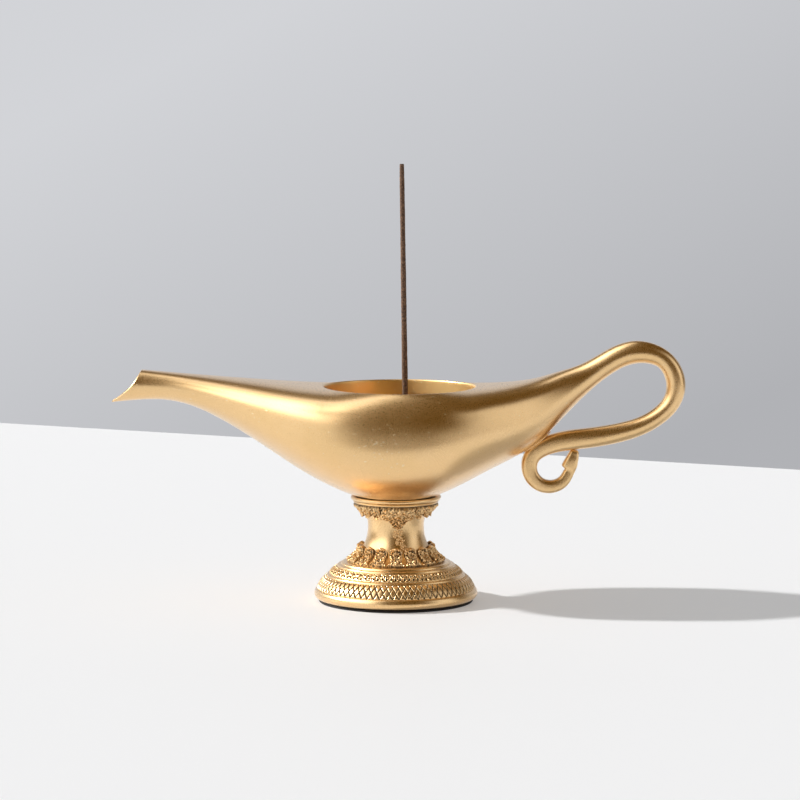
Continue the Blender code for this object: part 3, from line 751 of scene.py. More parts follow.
def head_path(end, way):
    """The path of the curl's head, which goes on from the end of its rod and leans to the bar above."""
    neck = end + way * 0.4
    lean = np.array((math.sin(HEAD_LEAN), math.cos(HEAD_LEAN)))
    # Share of the head's length, its reach to the inside and the outside, and its half depth
    shape = (
        (0.0, 1.9, 2.1, 2.0),
        (0.06, 2.1, 2.15, 2.05),
        (0.15, 3.1, 2.3, 2.2),
        (0.22, 3.2, 2.4, 2.25),
        (0.4, 2.85, 2.4, 2.3),
        (0.6, 2.35, 2.3, 2.25),
        (0.8, 1.8, 2.1, 2.1),
        (0.94, 1.3, 1.7, 1.8),
        (1.0, 0.9, 1.2, 1.3),
    )
    rows = [(*(neck + lean * HEAD_LENGTH * share), *sizes) for share, *sizes in shape]
    at = spline(rows)
    return np.array([at(place) for place in np.linspace(0, len(rows) - 1, 60)])


def make_handle(material):
    """The loop and the curl: a rod that begins at the tail with the vessel's own section."""
    rows = handle_rows()
    at = spline(rows)
    turns = np.linspace(0, 2 * math.pi, ROD_SIDES + 1)
    root_places = LAST_STATION + np.linspace(0, 2, 41)
    root = [section(place, False, math.pi / 2 - turns) for place in root_places]
    places = np.linspace(2, len(rows) - 1, 300)
    path = np.array([at(place) for place in places])
    path = np.column_stack((path, path[:, 2], path[:, 2]))
    flatness = 2.0 + 1.3 * smooth_step(places, 10.0, 14.5)
    way = path[-1, :2] - path[-2, :2]
    head = rod_sheet(head_path(path[-1, :2], way / np.hypot(*way)), ROD_SIDES, flatness[-1])
    sheet = np.concatenate((root[:-1], rod_sheet(path, ROD_SIDES, flatness)[:-1], head))
    scroll = mesh_from_sheets("handle_scroll", [capped(sheet)], sharp=60.0)
    add_piece(scroll, material, "lamp", ["handle"])


def make_seam(material):
    """The thin bead of solder where the curl touches the vessel, a little in front of the keel."""
    path = []
    for x in np.linspace(SEAM_START, SEAM_END, 24):
        place = keel_station(STATIONS, x)
        share = (x - SEAM_START + 0.5) / (SEAM_END - SEAM_START + 1.0)
        radius = 0.12 + 0.3 * math.sin(math.pi * share)
        path.append((x, STATIONS(place)[3] - 0.1, radius, radius, radius))
    sheet = capped(rod_sheet(np.array(path), 16)) - (0, SEAM_DEPTH, 0)
    add_piece(mesh_from_sheets("solder_seam", [sheet], sharp=60.0), material, "lamp")


# Foot: a turned body with relief bands, leaves and a vine laid on its profile


def foot_profile():
    """The foot's outer profile from the bottom edge to the top edge, in fine steps."""
    # Where each stretch ends and how far it bows outwards
    stretches = (
        ((29.5, 4.6), 1.0),
        (LATTICE_LOW, 0.0),
        (LATTICE_HIGH, 0.55),
        (GRAIN_LOW, 0.3),
        (GRAIN_HIGH, 0.35),
        ((20.7, 13.8), 0.35),
        ((20.2, 13.85), 0.0),
        ((19.3, 14.7), 0.25),
        (CROWN_FOOT, 0.0),
        ((WAIST_RADIUS, WAIST_Z), -2.1),
        (COLLAR_EDGE, -1.5),
        ((15.5, FOOT_TOP), 0.35),
    )
    step = 0.35
    outline = [(FOOT_RADIUS - 1.5, FOOT_BOTTOM)]
    for end, bow in stretches:
        length = math.dist(outline[-1], end)
        outline += arc(outline[-1], end, bow, max(2, round(length / step)))
    return np.array(outline)


PROFILE = foot_profile()
PROFILE_LENGTH = np.concatenate(([0.0], np.cumsum(np.hypot(*np.diff(PROFILE, axis=0).T))))


def profile_place(point):
    """How far along the foot's profile its point nearest to this one lies."""
    return PROFILE_LENGTH[np.argmin(np.hypot(*(PROFILE - point).T))]


def on_foot(along, turn, out):
    """Points over the foot's surface, for arrays of place along the profile, turn and height."""

    def profile_at(place):
        return (np.interp(place, PROFILE_LENGTH, numbers) for numbers in PROFILE.T)

    reach = 0.35
    radius, z = profile_at(along)
    ends = zip(profile_at(along + reach), profile_at(along - reach))
    run, climb = (ahead - behind for ahead, behind in ends)
    length = np.hypot(run, climb)
    return round_axis(radius + climb / length * out, turn, z - run / length * out)


def copies_tree():
    """Geometry Nodes that turn copies of a motif round the foot's axis and weld them where they meet."""
    tree = bpy.data.node_groups.new("Copies round the axis", "GeometryNodeTree")
    for name, kind in (
        ("Motif", "Geometry"),
        ("Copies", "Int"),
        ("First turn", "Float"),
        ("Weld distance", "Float"),
        ("Finish", "Material"),
    ):
        tree.interface.new_socket(name, in_out="INPUT", socket_type="NodeSocket" + kind)
    tree.interface.new_socket("Ring", in_out="OUTPUT", socket_type="NodeSocketGeometry")
    graph = Graph(tree)
    nodes, link = graph.nodes, graph.link
    given = nodes.new("NodeGroupInput").outputs
    points = nodes.new("GeometryNodePoints")
    link(given["Copies"], points.inputs["Count"])
    index = nodes.new("GeometryNodeInputIndex").outputs[0]
    step = graph.calc("DIVIDE", 2 * math.pi, given["Copies"])
    turn = graph.calc("MULTIPLY_ADD", index, step, given["First turn"])
    rotation = nodes.new("ShaderNodeCombineXYZ")
    link(turn, rotation.inputs["Z"])
    copies = nodes.new("GeometryNodeInstanceOnPoints")
    link(points.outputs[0], copies.inputs["Points"])
    link(given["Motif"], copies.inputs["Instance"])
    link(rotation.outputs[0], copies.inputs["Rotation"])
    real = nodes.new("GeometryNodeRealizeInstances")
    link(copies.outputs["Instances"], real.inputs[0])
    weld = nodes.new("GeometryNodeMergeByDistance")
    link(real.outputs[0], weld.inputs["Geometry"])
    link(given["Weld distance"], weld.inputs["Distance"])
    finish = nodes.new("GeometryNodeSetMaterial")
    link(weld.outputs[0], finish.inputs["Geometry"])
    link(given["Finish"], finish.inputs["Material"])
    link(finish.outputs[0], nodes.new("NodeGroupOutput").inputs[0])
    return tree


COPIES_TREE = copies_tree()


def copied_round(name, motif, copies, first_turn, material):
    """The motif's mesh, copied round the foot's axis by the node tree, as a plain mesh."""
    holder = placed("motif_holder", motif)
    modifier = holder.modifiers.new("Copies", "NODES")
    modifier.node_group = COPIES_TREE
    sockets = {item.name: item.identifier for item in COPIES_TREE.interface.items_tree}
    given = {"Copies": copies, "First turn": first_turn, "Weld distance": WELD, "Finish": material}
    for socket, value in given.items():
        modifier[sockets[socket]] = value
    return after_modifiers(holder, name)


def band_motif(ends, copies, height, columns, rows):
    """One of the copies that make a band between two places on the foot's profile.

    The height rule gets arrays of the share across the copy and the share up the band, and gives the height
    in millimetres and the patina, which is 1 in the darkest recess.
    """
    low, high = ends
    across, up = np.meshgrid(np.linspace(0, 1, columns + 1), np.linspace(0, 1, rows + 1))
    out, patina = height(across, up)
    turn = across * 2 * math.pi / copies
    along = low + (high - low) * up
    face = on_foot(along, turn, out)
    back = on_foot(along[[-1, 0]], turn[[-1, 0]], -BAND_DEPTH)
    sheets = [face, np.stack((face[-1], back[0])), back, np.stack((back[1], face[0]))]
    layers = [patina] + [np.ones((2, columns + 1))] * 3
    return mesh_from_sheets("motif", sheets, layers)


def filigree(across, along, size):
    """Irregular scrollwork from 0 to 1, for places in millimetres and the size of its scrolls."""
    first = across + 0.34 * np.sin(2.3 * along + 0.8 * across)
    second = along + 0.30 * np.sin(2.7 * across - 1.1 * along + 0.6)
    scroll = np.cos(2 * math.pi * first / size) * np.cos(2 * math.pi * second / size)
    thread = np.cos(2 * math.pi * (first * 0.62 + second * 0.9) / size)
    return np.clip(0.45 + 0.75 * scroll + 0.3 * thread, 0, 1)


def lattice_height(across, up):
    """Pillow-shaped diamonds between thin, dark engraved lines."""
    rows_up = 2.6
    one = across + up * rows_up / 2
    two = across - up * rows_up / 2
    to_line = np.minimum(np.abs(one - np.round(one)), np.abs(two - np.round(two))) * 2
    pillow = smooth_step(to_line, 0.04, 0.30)
    edge = np.clip(np.minimum(up, 1 - up) / 0.05, 0, 1)
    return (0.34 * pillow - 0.16) * edge, np.clip(1.6 - 2.2 * pillow, 0, 1) * edge


def bump(across, up, centre, radius, squash):
    """A round bump of height 1, with its centre and radius in shares of the tile's width."""
    distance = np.hypot(across - centre[0], (up - centre[1]) * squash) / radius
    return np.sqrt(np.clip(1 - distance**2, 0, 1))


def grain_height(across, up):
    """A smooth band with a faint scroll and two staggered rows of dark pits."""
    squash = 0.85
    pits = [((0.24, 0.66), 0.125), ((0.74, 0.70), 0.115), ((0.0, 0.33), 0.12), ((0.5, 0.30), 0.13)]
    pits += [((0.02, 0.80), 0.06), ((0.50, 0.62), 0.07), ((0.27, 0.22), 0.06), ((0.77, 0.38), 0.07)]
    pit = np.zeros_like(across)
    for shift in (-1, 0, 1):
        for centre, radius in pits:
            pit = np.maximum(pit, (0.4 + 4.0 * radius) * bump(across + shift, up, centre, radius, squash))
    scroll = np.cos(2 * math.pi * (across * 2 + 0.3 * np.sin(2 * math.pi * (up * 1.6 + across))))
    scroll = scroll * np.cos(2 * math.pi * (up * 2.2 + 0.2 * np.cos(2 * math.pi * across)))
    edge = np.clip(np.minimum(up, 1 - up) / 0.08, 0, 1)
    patina = np.clip(1.6 * pit, 0, 1) + np.clip(-0.55 * scroll - 0.15, 0, 0.4)
    return (0.14 + 0.12 * scroll - 0.60 * pit) * edge, np.clip(patina, 0, 1) * edge


def leaf_motif(low, length, half_turn, shape, relief, columns, rows, centres=(0.0,)):
    """Closed leaves that lie on the foot's profile, pointing up it, or down it if the length is negative.

    The shape gives their half width as a share at each share of the length, and the relief their height and
    patina. There is one leaf at each of the centres, which are turns round the foot's axis.
    """
    side, tall = np.meshgrid(np.linspace(-1, 1, columns + 1), ease(rows))
    out, patina = relief(side, tall)
    along = low + length * tall
    sheets = []
    layers = []
    for centre in centres:
        turn = centre + side * shape(tall) * half_turn
        face = on_foot(along, turn, out)
        back = on_foot(along, turn, np.full_like(out, -LEAF_DEPTH))
        sheets += [face, back]
        layers += [patina, np.ones_like(patina)]
        for pick in (np.s_[0, :], np.s_[-1, :], np.s_[:, 0], np.s_[:, -1]):
            sheets.append(np.stack((face[pick], back[pick])))
            layers.append(np.full((2, len(face[pick])), SIDE_PATINA))
    return mesh_from_sheets("motif", sheets, layers)


def hump(value, centre, width):
    """A smooth hump of height 1 round the centre."""
    return np.exp(-(((value - centre) / width) ** 2))


def rounded_end(tall, start, length):
    """1 up to the start of a leaf's end, then a quarter of an ellipse down to 0 over its length."""
    return np.sqrt(1 - np.clip((tall - start) / length, 0, 1) ** 2)


def petal_shape(tall):
    """Half width of an upright petal: leaf tips spread at its foot, a waist and a wide round hood."""
    foot = 0.36 * hump(tall, 0.0, 0.13)
    body = 0.72 + 0.24 * smooth_step(tall, 0.25, 0.68)
    return (foot + body) * rounded_end(tall, 0.72, 0.28)


def petal_relief(side, tall):
    """A raised smooth hood and edge round a body of granules and small scrolls."""
    distance = np.abs(side)
    edge = hump(distance, 0.9, 0.10)
    grains = filigree(2.5 * side * petal_shape(tall) + 0.4, PETAL_LENGTH * tall, 1.45)
    cut = np.maximum(0.8 * edge, grains)
    head = hump(tall, 0.88, 0.13) * (1 - 0.35 * side**2)
    rim = smooth_step(tall, 0.84, 0.93)
    cut = cut + (0.8 - cut) * rim
    out = 0.30 + 0.45 * tall + 0.85 * head + 0.85 * cut - 0.35 * distance**4
    return out, np.clip(0.92 - 1.8 * cut, 0, 1)


def leaf_shape(tall):
    """Half width of a hanging leaf with lobed sides and a rounded, slightly pointed tip."""
    lobes = 0.90 + 0.10 * np.abs(np.cos(math.pi * 3.4 * tall))
    taper = 1 - 0.42 * smooth_step(tall, 0.35, 1.0)
    return lobes * taper * rounded_end(tall, 0.80, 0.20)


def leaf_relief(side, tall):
    """Scrolls between a raised midrib and a raised edge, with the tip curled outwards."""
    distance = np.abs(side)
    rib = hump(side, 0.0, 0.11) * np.clip((0.85 - tall) / 0.1, 0, 1)
    edge = hump(distance, 0.88, 0.11)
    scroll = filigree(2.4 * side * leaf_shape(tall) + 0.2, LEAF_LENGTH * tall, 1.7)
    tip = smooth_step(tall, 0.82, 0.92)
    cut = np.maximum(np.maximum(0.75 * edge, 0.7 * rib), 0.95 * scroll)
    cut = cut + (0.8 - cut) * tip
    straight = 0.35 * np.sin(math.pi * np.clip(tall * 0.8, 0, 1))
    out = 0.22 + straight + 0.25 * tall + 0.45 * tip + 1.0 * cut - 0.3 * distance**6
    return out, np.clip(1.1 - 1.9 * cut, 0, 1)


def pendant_shape(tall):
    """Half width of the pendant: a shield with scalloped sides that draws in to a slender drop."""
    shield = 0.80 + 0.20 * smooth_step(tall, 0.0, 0.5) - 0.53 * smooth_step(tall, 0.5, 0.72)
    shield = shield - 0.13 * smooth_step(tall, 0.72, 0.9) - 0.33 * smooth_step(tall, 0.9, 1.0)
    return np.clip(shield, 0.01, 1) * (1 + 0.06 * np.cos(2 * math.pi * 5.5 * tall))


def pendant_relief(side, tall):
    """Fine scrolls, light in tone, that stand in front of the leaves."""
    across = 6.4 * side * pendant_shape(tall)
    coarse = filigree(across, PENDANT_LENGTH * tall + 0.5, 1.9)
    fine = filigree(PENDANT_LENGTH * tall, across + 0.3, 1.1)
    cut = np.clip(0.9 * coarse + 0.3 * fine, 0, 1.1)
    out = 0.55 + 0.75 * np.sin(math.pi * np.clip(tall * 1.1, 0, 1)) * (1 - 0.4 * tall) + 0.85 * cut
    return out - 0.3 * np.abs(side) ** 6, np.clip(0.85 - 1.7 * cut, 0, 1)


def collar_height(across, up):
    """Close filigree of loops under the collar's bead, ending in scallops."""
    loops = np.sin(2 * math.pi * (across * 3 + 0.35 * np.sin(2 * math.pi * up * 2)))
    loops = loops * np.sin(2 * math.pi * (up * 2.6 + 0.25 * np.cos(2 * math.pi * across * 2)))
    cut = np.abs(loops)
    scallop = 0.55 + 0.12 * np.cos(2 * math.pi * across)
    fade = np.clip((up - scallop) / 0.08, 0, 1)
    out = (0.05 + 0.10 * cut) * fade - 0.3 * (1 - fade)
    return out, (1 - 0.35 * cut) * fade


def make_vine(material):
    """Small leaves and beads that trail down the neck from the front pendant to the crown."""
    shape = np.random.default_rng(7)
    top = profile_place(VINE_TOP)
    bottom = profile_place(VINE_BOTTOM)
    work = bmesh.new()
    for k in range(VINE_BEADS):
        share = (k + 0.5) / VINE_BEADS
        along = top + (bottom - top) * share
        drift = 0.02 + 0.26 * share + 0.05 * math.sin(share * 19)
        spread = 0.16 - 0.07 * share
        turn = FRONT + drift + spread * (shape.random() * 2 - 1)
        centre = on_foot(np.array(along), np.array(turn), np.array(0.05))
        size = 0.13 + 0.16 * shape.random()
        stretch = 1.0 + 0.9 * shape.random()
        spin = shape.random() * math.pi
        place = (
            Matrix.Translation(Vector(centre))
            @ Matrix.Rotation(turn, 4, "Z")
            @ Matrix.Rotation(spin, 4, "X")
            @ Matrix.Diagonal((size * 0.8, size * stretch, size, 1.0))
        )
        bmesh.ops.create_icosphere(work, subdivisions=2, radius=1.0, matrix=Matrix.Scale(MM, 4) @ place)
    mesh = bpy.data.meshes.new("neck_vine")
    work.to_mesh(mesh)
    work.free()
    mesh.shade_smooth()
    add_piece(mesh, material, "lamp")


def sunk_profile(bands, depth):
    """The foot's profile, sunk under each band, which is a pair of places along the profile."""
    margin = 0.25
    inside = np.zeros(len(PROFILE), bool)
    for low, high in bands:
        inside |= (PROFILE_LENGTH > low + margin) & (PROFILE_LENGTH < high - margin)
    points = on_foot(PROFILE_LENGTH, np.zeros(len(PROFILE)), np.where(inside, -depth, 0.0))
    return [(x, z) for x, _, z in points]


def make_foot(smooth, carved):
    """The turned body, hollow from below, under its bands, petals, leaves and pendants."""
    lattice = profile_place(LATTICE_LOW), profile_place(LATTICE_HIGH)
    grain = profile_place(GRAIN_LOW), profile_place(GRAIN_HIGH)
    hollow = ((0, 26.0), (6.0, 26.0), (12.0, 12.0), (24.0, 3.0), (24.5, 0.0))
    outline = [(radius, FOOT_BOTTOM + rise) for radius, rise in hollow]
    outline += [*sunk_profile((lattice, grain), BAND_SINK), (0, FOOT_TOP)]
    foot_body = turned_mesh("foot_body", outline, 256, 35.0)
    add_piece(foot_body, smooth, "lamp", ["foot"])

    collar = profile_place(COLLAR_LOW), profile_place(COLLAR_EDGE)
    sides = [math.radians(degrees) for degrees in np.linspace(37.0, 143.0, 6)]
    petal = profile_place(CROWN_FOOT), PETAL_LENGTH, PETAL_HALF_TURN
    leaf = collar[1], -LEAF_LENGTH, LEAF_HALF_TURN
    pendant = collar[1], -PENDANT_LENGTH, PENDANT_HALF_TURN
    # Name, motif, copies and turn of the first copy
    reliefs = (
        ("lattice_band", band_motif(lattice, LATTICE_COPIES, lattice_height, 14, 64), LATTICE_COPIES, 0.0),
        ("grain_band", band_motif(grain, GRAIN_COPIES, grain_height, 30, 40), GRAIN_COPIES, 0.0),
        ("collar_band", band_motif(collar, SCALLOPS, collar_height, 48, 44), SCALLOPS, FIRST_SCALLOP),
        ("crown_petals", leaf_motif(*petal, petal_shape, petal_relief, 40, 52), PETALS, FRONT),
        ("collar_leaves", leaf_motif(*leaf, leaf_shape, leaf_relief, 40, 52, sides), 2, PENDANT_TURN),
        ("collar_pendants", leaf_motif(*pendant, pendant_shape, pendant_relief, 96, 110), 2, PENDANT_TURN),
    )
    for name, motif, copies, first_turn in reliefs:
        mesh = close_mesh(copied_round(name, motif, copies, first_turn, carved), 50.0)
        add_piece(mesh, carved, "lamp")


def make_neck_ring(material):
    bottom, top, radius = RING_LOW[2], RING_HIGH[2], RING_HIGH[0]
    edge = 0.3
    hole = 2.5
    outline = outline_through(
        (hole, bottom), (radius - edge, bottom), (radius - edge, top, edge, 10), (hole, top), (hole, bottom)
    )
    disc = turned_mesh("neck_ring_disc", outline, 192, 35.0)
    add_piece(disc, material, "lamp", ["neck_ring"])


def make_pad(material):
    bottom, top, radius = PAD_LOW[2], PAD_HIGH[2], PAD_HIGH[0]
    edge = 0.15
    outline = [(0, bottom), (radius - edge, bottom), (radius, bottom + edge), (radius, top - edge)]
    outline += [(radius - edge, top), (0, top)]
    pad = turned_mesh("rubber_pad", outline, 192, 50.0)
    add_piece(pad, material, "lamp", ["base_pad"])


# Ash dish, stick holder and stick


def make_dish(material):
    rim, radius = DISH_HIGH[2], DISH_HIGH[0]
    floor = DISH_LOW[2] + DISH_FLOOR
    under = floor - DISH_WALL
    foot, inside_foot = DISH_FOOT_RADIUS, DISH_FOOT_RADIUS - DISH_FOOT_RING
    edge = 0.2
    foot_edge = DISH_LOW[2] + edge
    lip = 0.5
    outline = outline_through(
        (DISH_HOLE, under),
        (inside_foot, under),
        (inside_foot, foot_edge),
        (foot, foot_edge, edge, 6),
        (foot, under),
        (16.5, under),
        (radius - 0.1, rim - lip, 0.9, 18),
        (radius - DISH_WALL, rim - lip, lip, 10),
        (16.3, floor, -0.9, 18),
        (DISH_HOLE, floor),
        (DISH_HOLE, under),
    )
    bowl = turned_mesh("dish_bowl", outline, 160, 35.0)
    add_piece(bowl, material, "dish", ["ash_dish"])


def make_holder(material):
    bottom, top, radius = HOLDER_LOW[2], HOLDER_HIGH[2], HOLDER_HIGH[0]
    chamfer = 0.7
    neck = radius - HOLDER_FLANGE
    flange_top = bottom + HOLDER_FLANGE
    edge = 0.3
    outline = outline_through(
        (0, bottom),
        (radius - edge, bottom),
        (radius - edge, flange_top, edge, 8),
        (neck, flange_top + chamfer, -0.2, 6),
        (neck, top - chamfer, -0.3, 16),
        (neck - chamfer, top, 0.15, 6),
        (0, top),
    )
    body = placed("holder_blank", turned_mesh("holder_blank", outline, 128, 35.0))
    flare = 0.35
    past = 1.0
    cutters = []
    for k, hole in enumerate(STICK_HOLES):
        turn = 2 * math.pi * k / len(STICK_HOLES)
        shape = [(0, top - HOLE_DEPTH), (hole, top - HOLE_DEPTH), (hole, top - 0.25)]
        shape += [(hole + flare, top + 0.1), (hole + flare, top + past), (0, top + past)]
        mesh = turned_mesh("stick_hole", shape, 48)
        centre = Vector((math.cos(turn), math.sin(turn), 0)) * HOLE_PITCH * MM
        mesh.transform(Matrix.Translation(centre))
        cutter = placed("stick_hole", mesh)
        modifier = body.modifiers.new("Hole", "BOOLEAN")
        modifier.object = cutter
        modifier.operation = "DIFFERENCE"
        cutters.append(cutter)
    block = close_mesh(after_modifiers(body, "holder_block"), 30.0)
    for cutter in cutters:
        bpy.data.objects.remove(cutter)
    add_piece(block, material, "dish", ["stick_holder"])


def make_stick(material):
    """A rolled joss stick, rough along its whole length, on the same slanting axis as its CAD solid."""
    joint = next(j for j in frame["joints"] if j["name"] == "stick_lift")
    axis = Vector(joint["axis"]).normalized()
    foot_x = HOLE_PITCH + STICK_PIVOT_HEIGHT * math.tan(STICK_LEAN)
    foot = Vector((foot_x, 0, HOLDER_HIGH[2] - STICK_DEPTH))
    shape = np.random.default_rng(11)
    rings = 420
    sides = 28
    rough = shape.normal(0, 1, (rings, sides))
    rough = (rough + np.roll(rough, 1, 0) + np.roll(rough, 1, 1) + np.roll(rough, -1, 1)) / 2
    side_way = Vector((0, 1, 0)).cross(axis).normalized()
    rows = []
    for k in range(rings):
        share = k / (rings - 1)
        taper = min(1.0, max(0.0, (share - 0.3) / 0.7))
        radius = STICK_FOOT_RADIUS + (STICK_TOP_RADIUS - STICK_FOOT_RADIUS) * taper
        ends = min(k, rings - 1 - k)
        rounding = (0.86, 0.95, 1.0)[min(ends, 2)]
        wobble = 0.02 * math.sin(share * 23) + 0.015 * math.sin(share * 61 + 1)
        row = []
        for i in range(sides):
            turn = 2 * math.pi * i / sides
            grain = 1 + (0.022 * rough[k, i] if ends > 1 else 0.0)
            reach = (radius + wobble) * rounding * grain
            point = foot + axis * (STICK_LENGTH * share) + side_way * (reach * math.cos(turn))
            row.append(point + Vector((0, reach * math.sin(turn), 0)))
        rows.append([*row, row[0]])
    stick = mesh_from_sheets("joss_stick", [capped(np.array(rows, float))], sharp=60.0)
    add_piece(stick, material, "stick", ["incense_stick"])


# Finishes: sizes of patterns are in features to the millimetre, depths of bumps in millimetres

GOLD = (0.90, 0.61, 0.30)
GOLD_WARM = (0.87, 0.58, 0.265)
# Brighter, more orange gold for the wall inside the opening: painted light for the light that bounces round
# the cup
GOLD_INSIDE_PAINTED_LIGHT = (0.93, 0.63, 0.26)
PATINA = (0.030, 0.014, 0.005)
LACQUER = 0.75
LACQUER_ROUGHNESS = 0.28
FLAKE_ROUGHNESS = (0.24, 0.38)
ROUGHER_INSIDE = 0.13
ROUGHER_IN_RECESS = 0.3
METAL_IN_RECESS = 0.35
WORN = (0.96, 0.80, 0.55)
WORN_CENTRE = (-4.5, -34.0, 60.5)
WORN_CORE = 3.0
WORN_REACH = 12.0
BRASS = (0.75, 0.53, 0.22)
BRASS_BRIGHT = (0.76, 0.54, 0.23)
BRASS_STAIN = (0.58, 0.39, 0.16)
STEEL = (0.55, 0.55, 0.54)
RUBBER = (0.012, 0.011, 0.011)
RUBBER_DARK = (0.008, 0.007, 0.007)
RUBBER_DUST = (0.022, 0.02, 0.02)
INCENSE = (0.16, 0.085, 0.05)
INCENSE_DARK = (0.055, 0.028, 0.018)
INCENSE_PALE = (0.30, 0.17, 0.10)


def new_material(name, colour, roughness, metallic):
    """A material with one shader, the graph to build on and the shader's inputs."""
    material = bpy.data.materials.new(name)
    material.use_nodes = True
    inputs = material.node_tree.nodes["Principled BSDF"].inputs
    inputs["Base Color"].default_value = (*colour, 1.0)
    inputs["Roughness"].default_value = roughness
    inputs["Metallic"].default_value = metallic
    return material, Graph(material.node_tree), inputs


def inside_opening(graph, place):
    """1 on the wall inside the round opening, 0 elsewhere; it places the painted light and the rougher
    finish there.
    """
    x, y, z = graph.split(place)
    x = graph.calc("SUBTRACT", x, RIM_X * MM)
    square = graph.calc("ADD", graph.calc("MULTIPLY", x, x), graph.calc("MULTIPLY", y, y))
    radius = graph.calc("SQRT", square)
    near = graph.remap(radius, (RIM_RADIUS + 0.6) * MM, (RIM_RADIUS + 0.2) * MM)
    cup_floor = RIM_Z - CUP_DEPTH
    high = graph.remap(z, (cup_floor - BELOW_CUP) * MM, cup_floor * MM)
    return graph.calc("MULTIPLY", near, high)


def worn_specks(graph, place):
    """1 in a few small specks and short scratches on the front of the belly, 0 elsewhere."""
    away = graph.nodes.new("ShaderNodeVectorMath")
    away.operation = "DISTANCE"
    away.inputs[1].default_value = tuple(number * MM for number in WORN_CENTRE)
    graph.link(place, away.inputs[0])
    near = graph.remap(away.outputs["Value"], WORN_CORE * MM, WORN_REACH * MM, 1.0, 0.0)
    stretched = graph.nodes.new("ShaderNodeMapping")
    stretched.inputs["Rotation"].default_value = (0.0, math.radians(35.0), 0.0)
    stretched.inputs["Scale"].default_value = (0.45, 1.0, 1.0)
    graph.link(place, stretched.inputs["Vector"])
    specks = graph.noise(stretched.outputs["Vector"], 1.5, 1.0)
    level = graph.calc("MULTIPLY_ADD", near, 0.10, specks)
    return graph.remap(level, 0.75, 0.775)


def gold_material(name, carved):
    """Satin gold over a casting: fine flakes, a soft orange-peel skin, painted light on the wall inside the
    opening and, where carved, dark recesses.
    """
    material, graph, inputs = new_material(name, GOLD, 0.3, 1.0)
    inputs["Coat Weight"].default_value = LACQUER
    inputs["Coat Roughness"].default_value = LACQUER_ROUGHNESS
    inputs["Coat IOR"].default_value = 1.5
    place = graph.place()
    cloud = graph.noise(place, 0.06, 3.0)
    flakes = graph.noise(place, 3.2, 2.0, 0.7)
    peel = graph.noise(place, 0.9, 3.0)
    colour = graph.mix(graph.remap(cloud, 0.3, 0.7), GOLD, GOLD_WARM)
    roughness = graph.remap(flakes, 0.3, 0.7, *FLAKE_ROUGHNESS)
    inside = inside_opening(graph, place)
    # Painted light: the wall inside the opening gets a brighter, more orange gold for the light bouncing
    # round the cup
    colour = graph.mix(inside, colour, GOLD_INSIDE_PAINTED_LIGHT)
    roughness = graph.calc("ADD", roughness, graph.remap(inside, 0.0, 1.0, 0.0, ROUGHER_INSIDE))
    worn = worn_specks(graph, place)
    colour = graph.mix(worn, colour, WORN)
    bumps = [(peel, 0.10, 0.06), (flakes, 0.24, 0.03), (worn, 0.5, 0.08)]
    if carved:
        patina = graph.nodes.new("ShaderNodeAttribute")
        patina.attribute_name = "patina"
        blotch = graph.remap(graph.noise(place, 0.8, 3.0), 0.25, 0.6, 0.55, 1.15)
        amount = graph.calc("MULTIPLY", patina.outputs["Fac"], blotch, clamp=True)
        colour = graph.mix(amount, colour, PATINA)
        roughness = graph.calc("MULTIPLY_ADD", amount, ROUGHER_IN_RECESS, roughness)
        graph.link(graph.remap(amount, 0.0, 1.0, 1.0, METAL_IN_RECESS), inputs["Metallic"])
        graph.link(graph.remap(amount, 0.0, 0.8, LACQUER, 0.0), inputs["Coat Weight"])
        bumps = [(peel, 0.25, 0.1), (flakes, 0.2, 0.04)]
    graph.link(colour, inputs["Base Color"])
    graph.link(roughness, inputs["Roughness"])
    graph.link(graph.bumped(bumps), inputs["Normal"])
    return material


def brass_material(name, roughness):
    """Turned brass with fine rings round the axis."""
    material, graph, inputs = new_material(name, BRASS, roughness, 1.0)
    place = graph.place()
    rings = graph.nodes.new("ShaderNodeTexWave")
    rings.wave_type = "RINGS"
    rings.rings_direction = "Z"
    rings.inputs["Scale"].default_value = 1.6 / MM
    rings.inputs["Distortion"].default_value = 0.6
    graph.link(place, rings.inputs["Vector"])
    stain = graph.noise(place, 0.12, 4.0)
    graph.link(graph.mix(stain, BRASS_BRIGHT, BRASS_STAIN), inputs["Base Color"])
    graph.link(graph.remap(stain, 0.3, 0.7, roughness - 0.05, roughness + 0.12), inputs["Roughness"])
    graph.link(graph.bumped([(rings.outputs["Fac"], 0.08, 0.02)]), inputs["Normal"])
    return material


def steel_material():
    material, graph, inputs = new_material("plated steel", STEEL, 0.35, 1.0)
    scuff = graph.noise(graph.place(), 1.5, 4.0)
    graph.link(graph.remap(scuff, 0.3, 0.7, 0.28, 0.48), inputs["Roughness"])
    graph.link(graph.bumped([(scuff, 0.15, 0.03)]), inputs["Normal"])
    return material


def rubber_material():
    material, graph, inputs = new_material("black pad", RUBBER, 0.8, 0.0)
    grain = graph.noise(graph.place(), 4.0, 3.0)
    graph.link(graph.mix(grain, RUBBER_DARK, RUBBER_DUST), inputs["Base Color"])
    graph.link(graph.bumped([(grain, 0.4, 0.05)]), inputs["Normal"])
    return material


def incense_material():
    """Rolled incense powder: dull brown with dark and pale specks."""
    material, graph, inputs = new_material("incense powder", INCENSE, 0.9, 0.0)
    place = graph.place()
    specks = graph.noise(place, 1.6, 3.0, 0.7)
    grit = graph.noise(place, 5.0, 2.0, 0.7)
    ramp = graph.nodes.new("ShaderNodeValToRGB")
    graph.link(specks, ramp.inputs["Fac"])
    ends = ramp.color_ramp.elements
    for end, position, colour in ((ends[0], 0.34, INCENSE_DARK), (ends[1], 0.68, INCENSE_PALE)):
        end.position = position
        end.color = (*colour, 1.0)
    graph.link(ramp.outputs["Color"], inputs["Base Color"])
    graph.link(graph.bumped([(specks, 0.5, 0.12), (grit, 0.6, 0.05)]), inputs["Normal"])
    return material


# Stage, light and camera, in metres

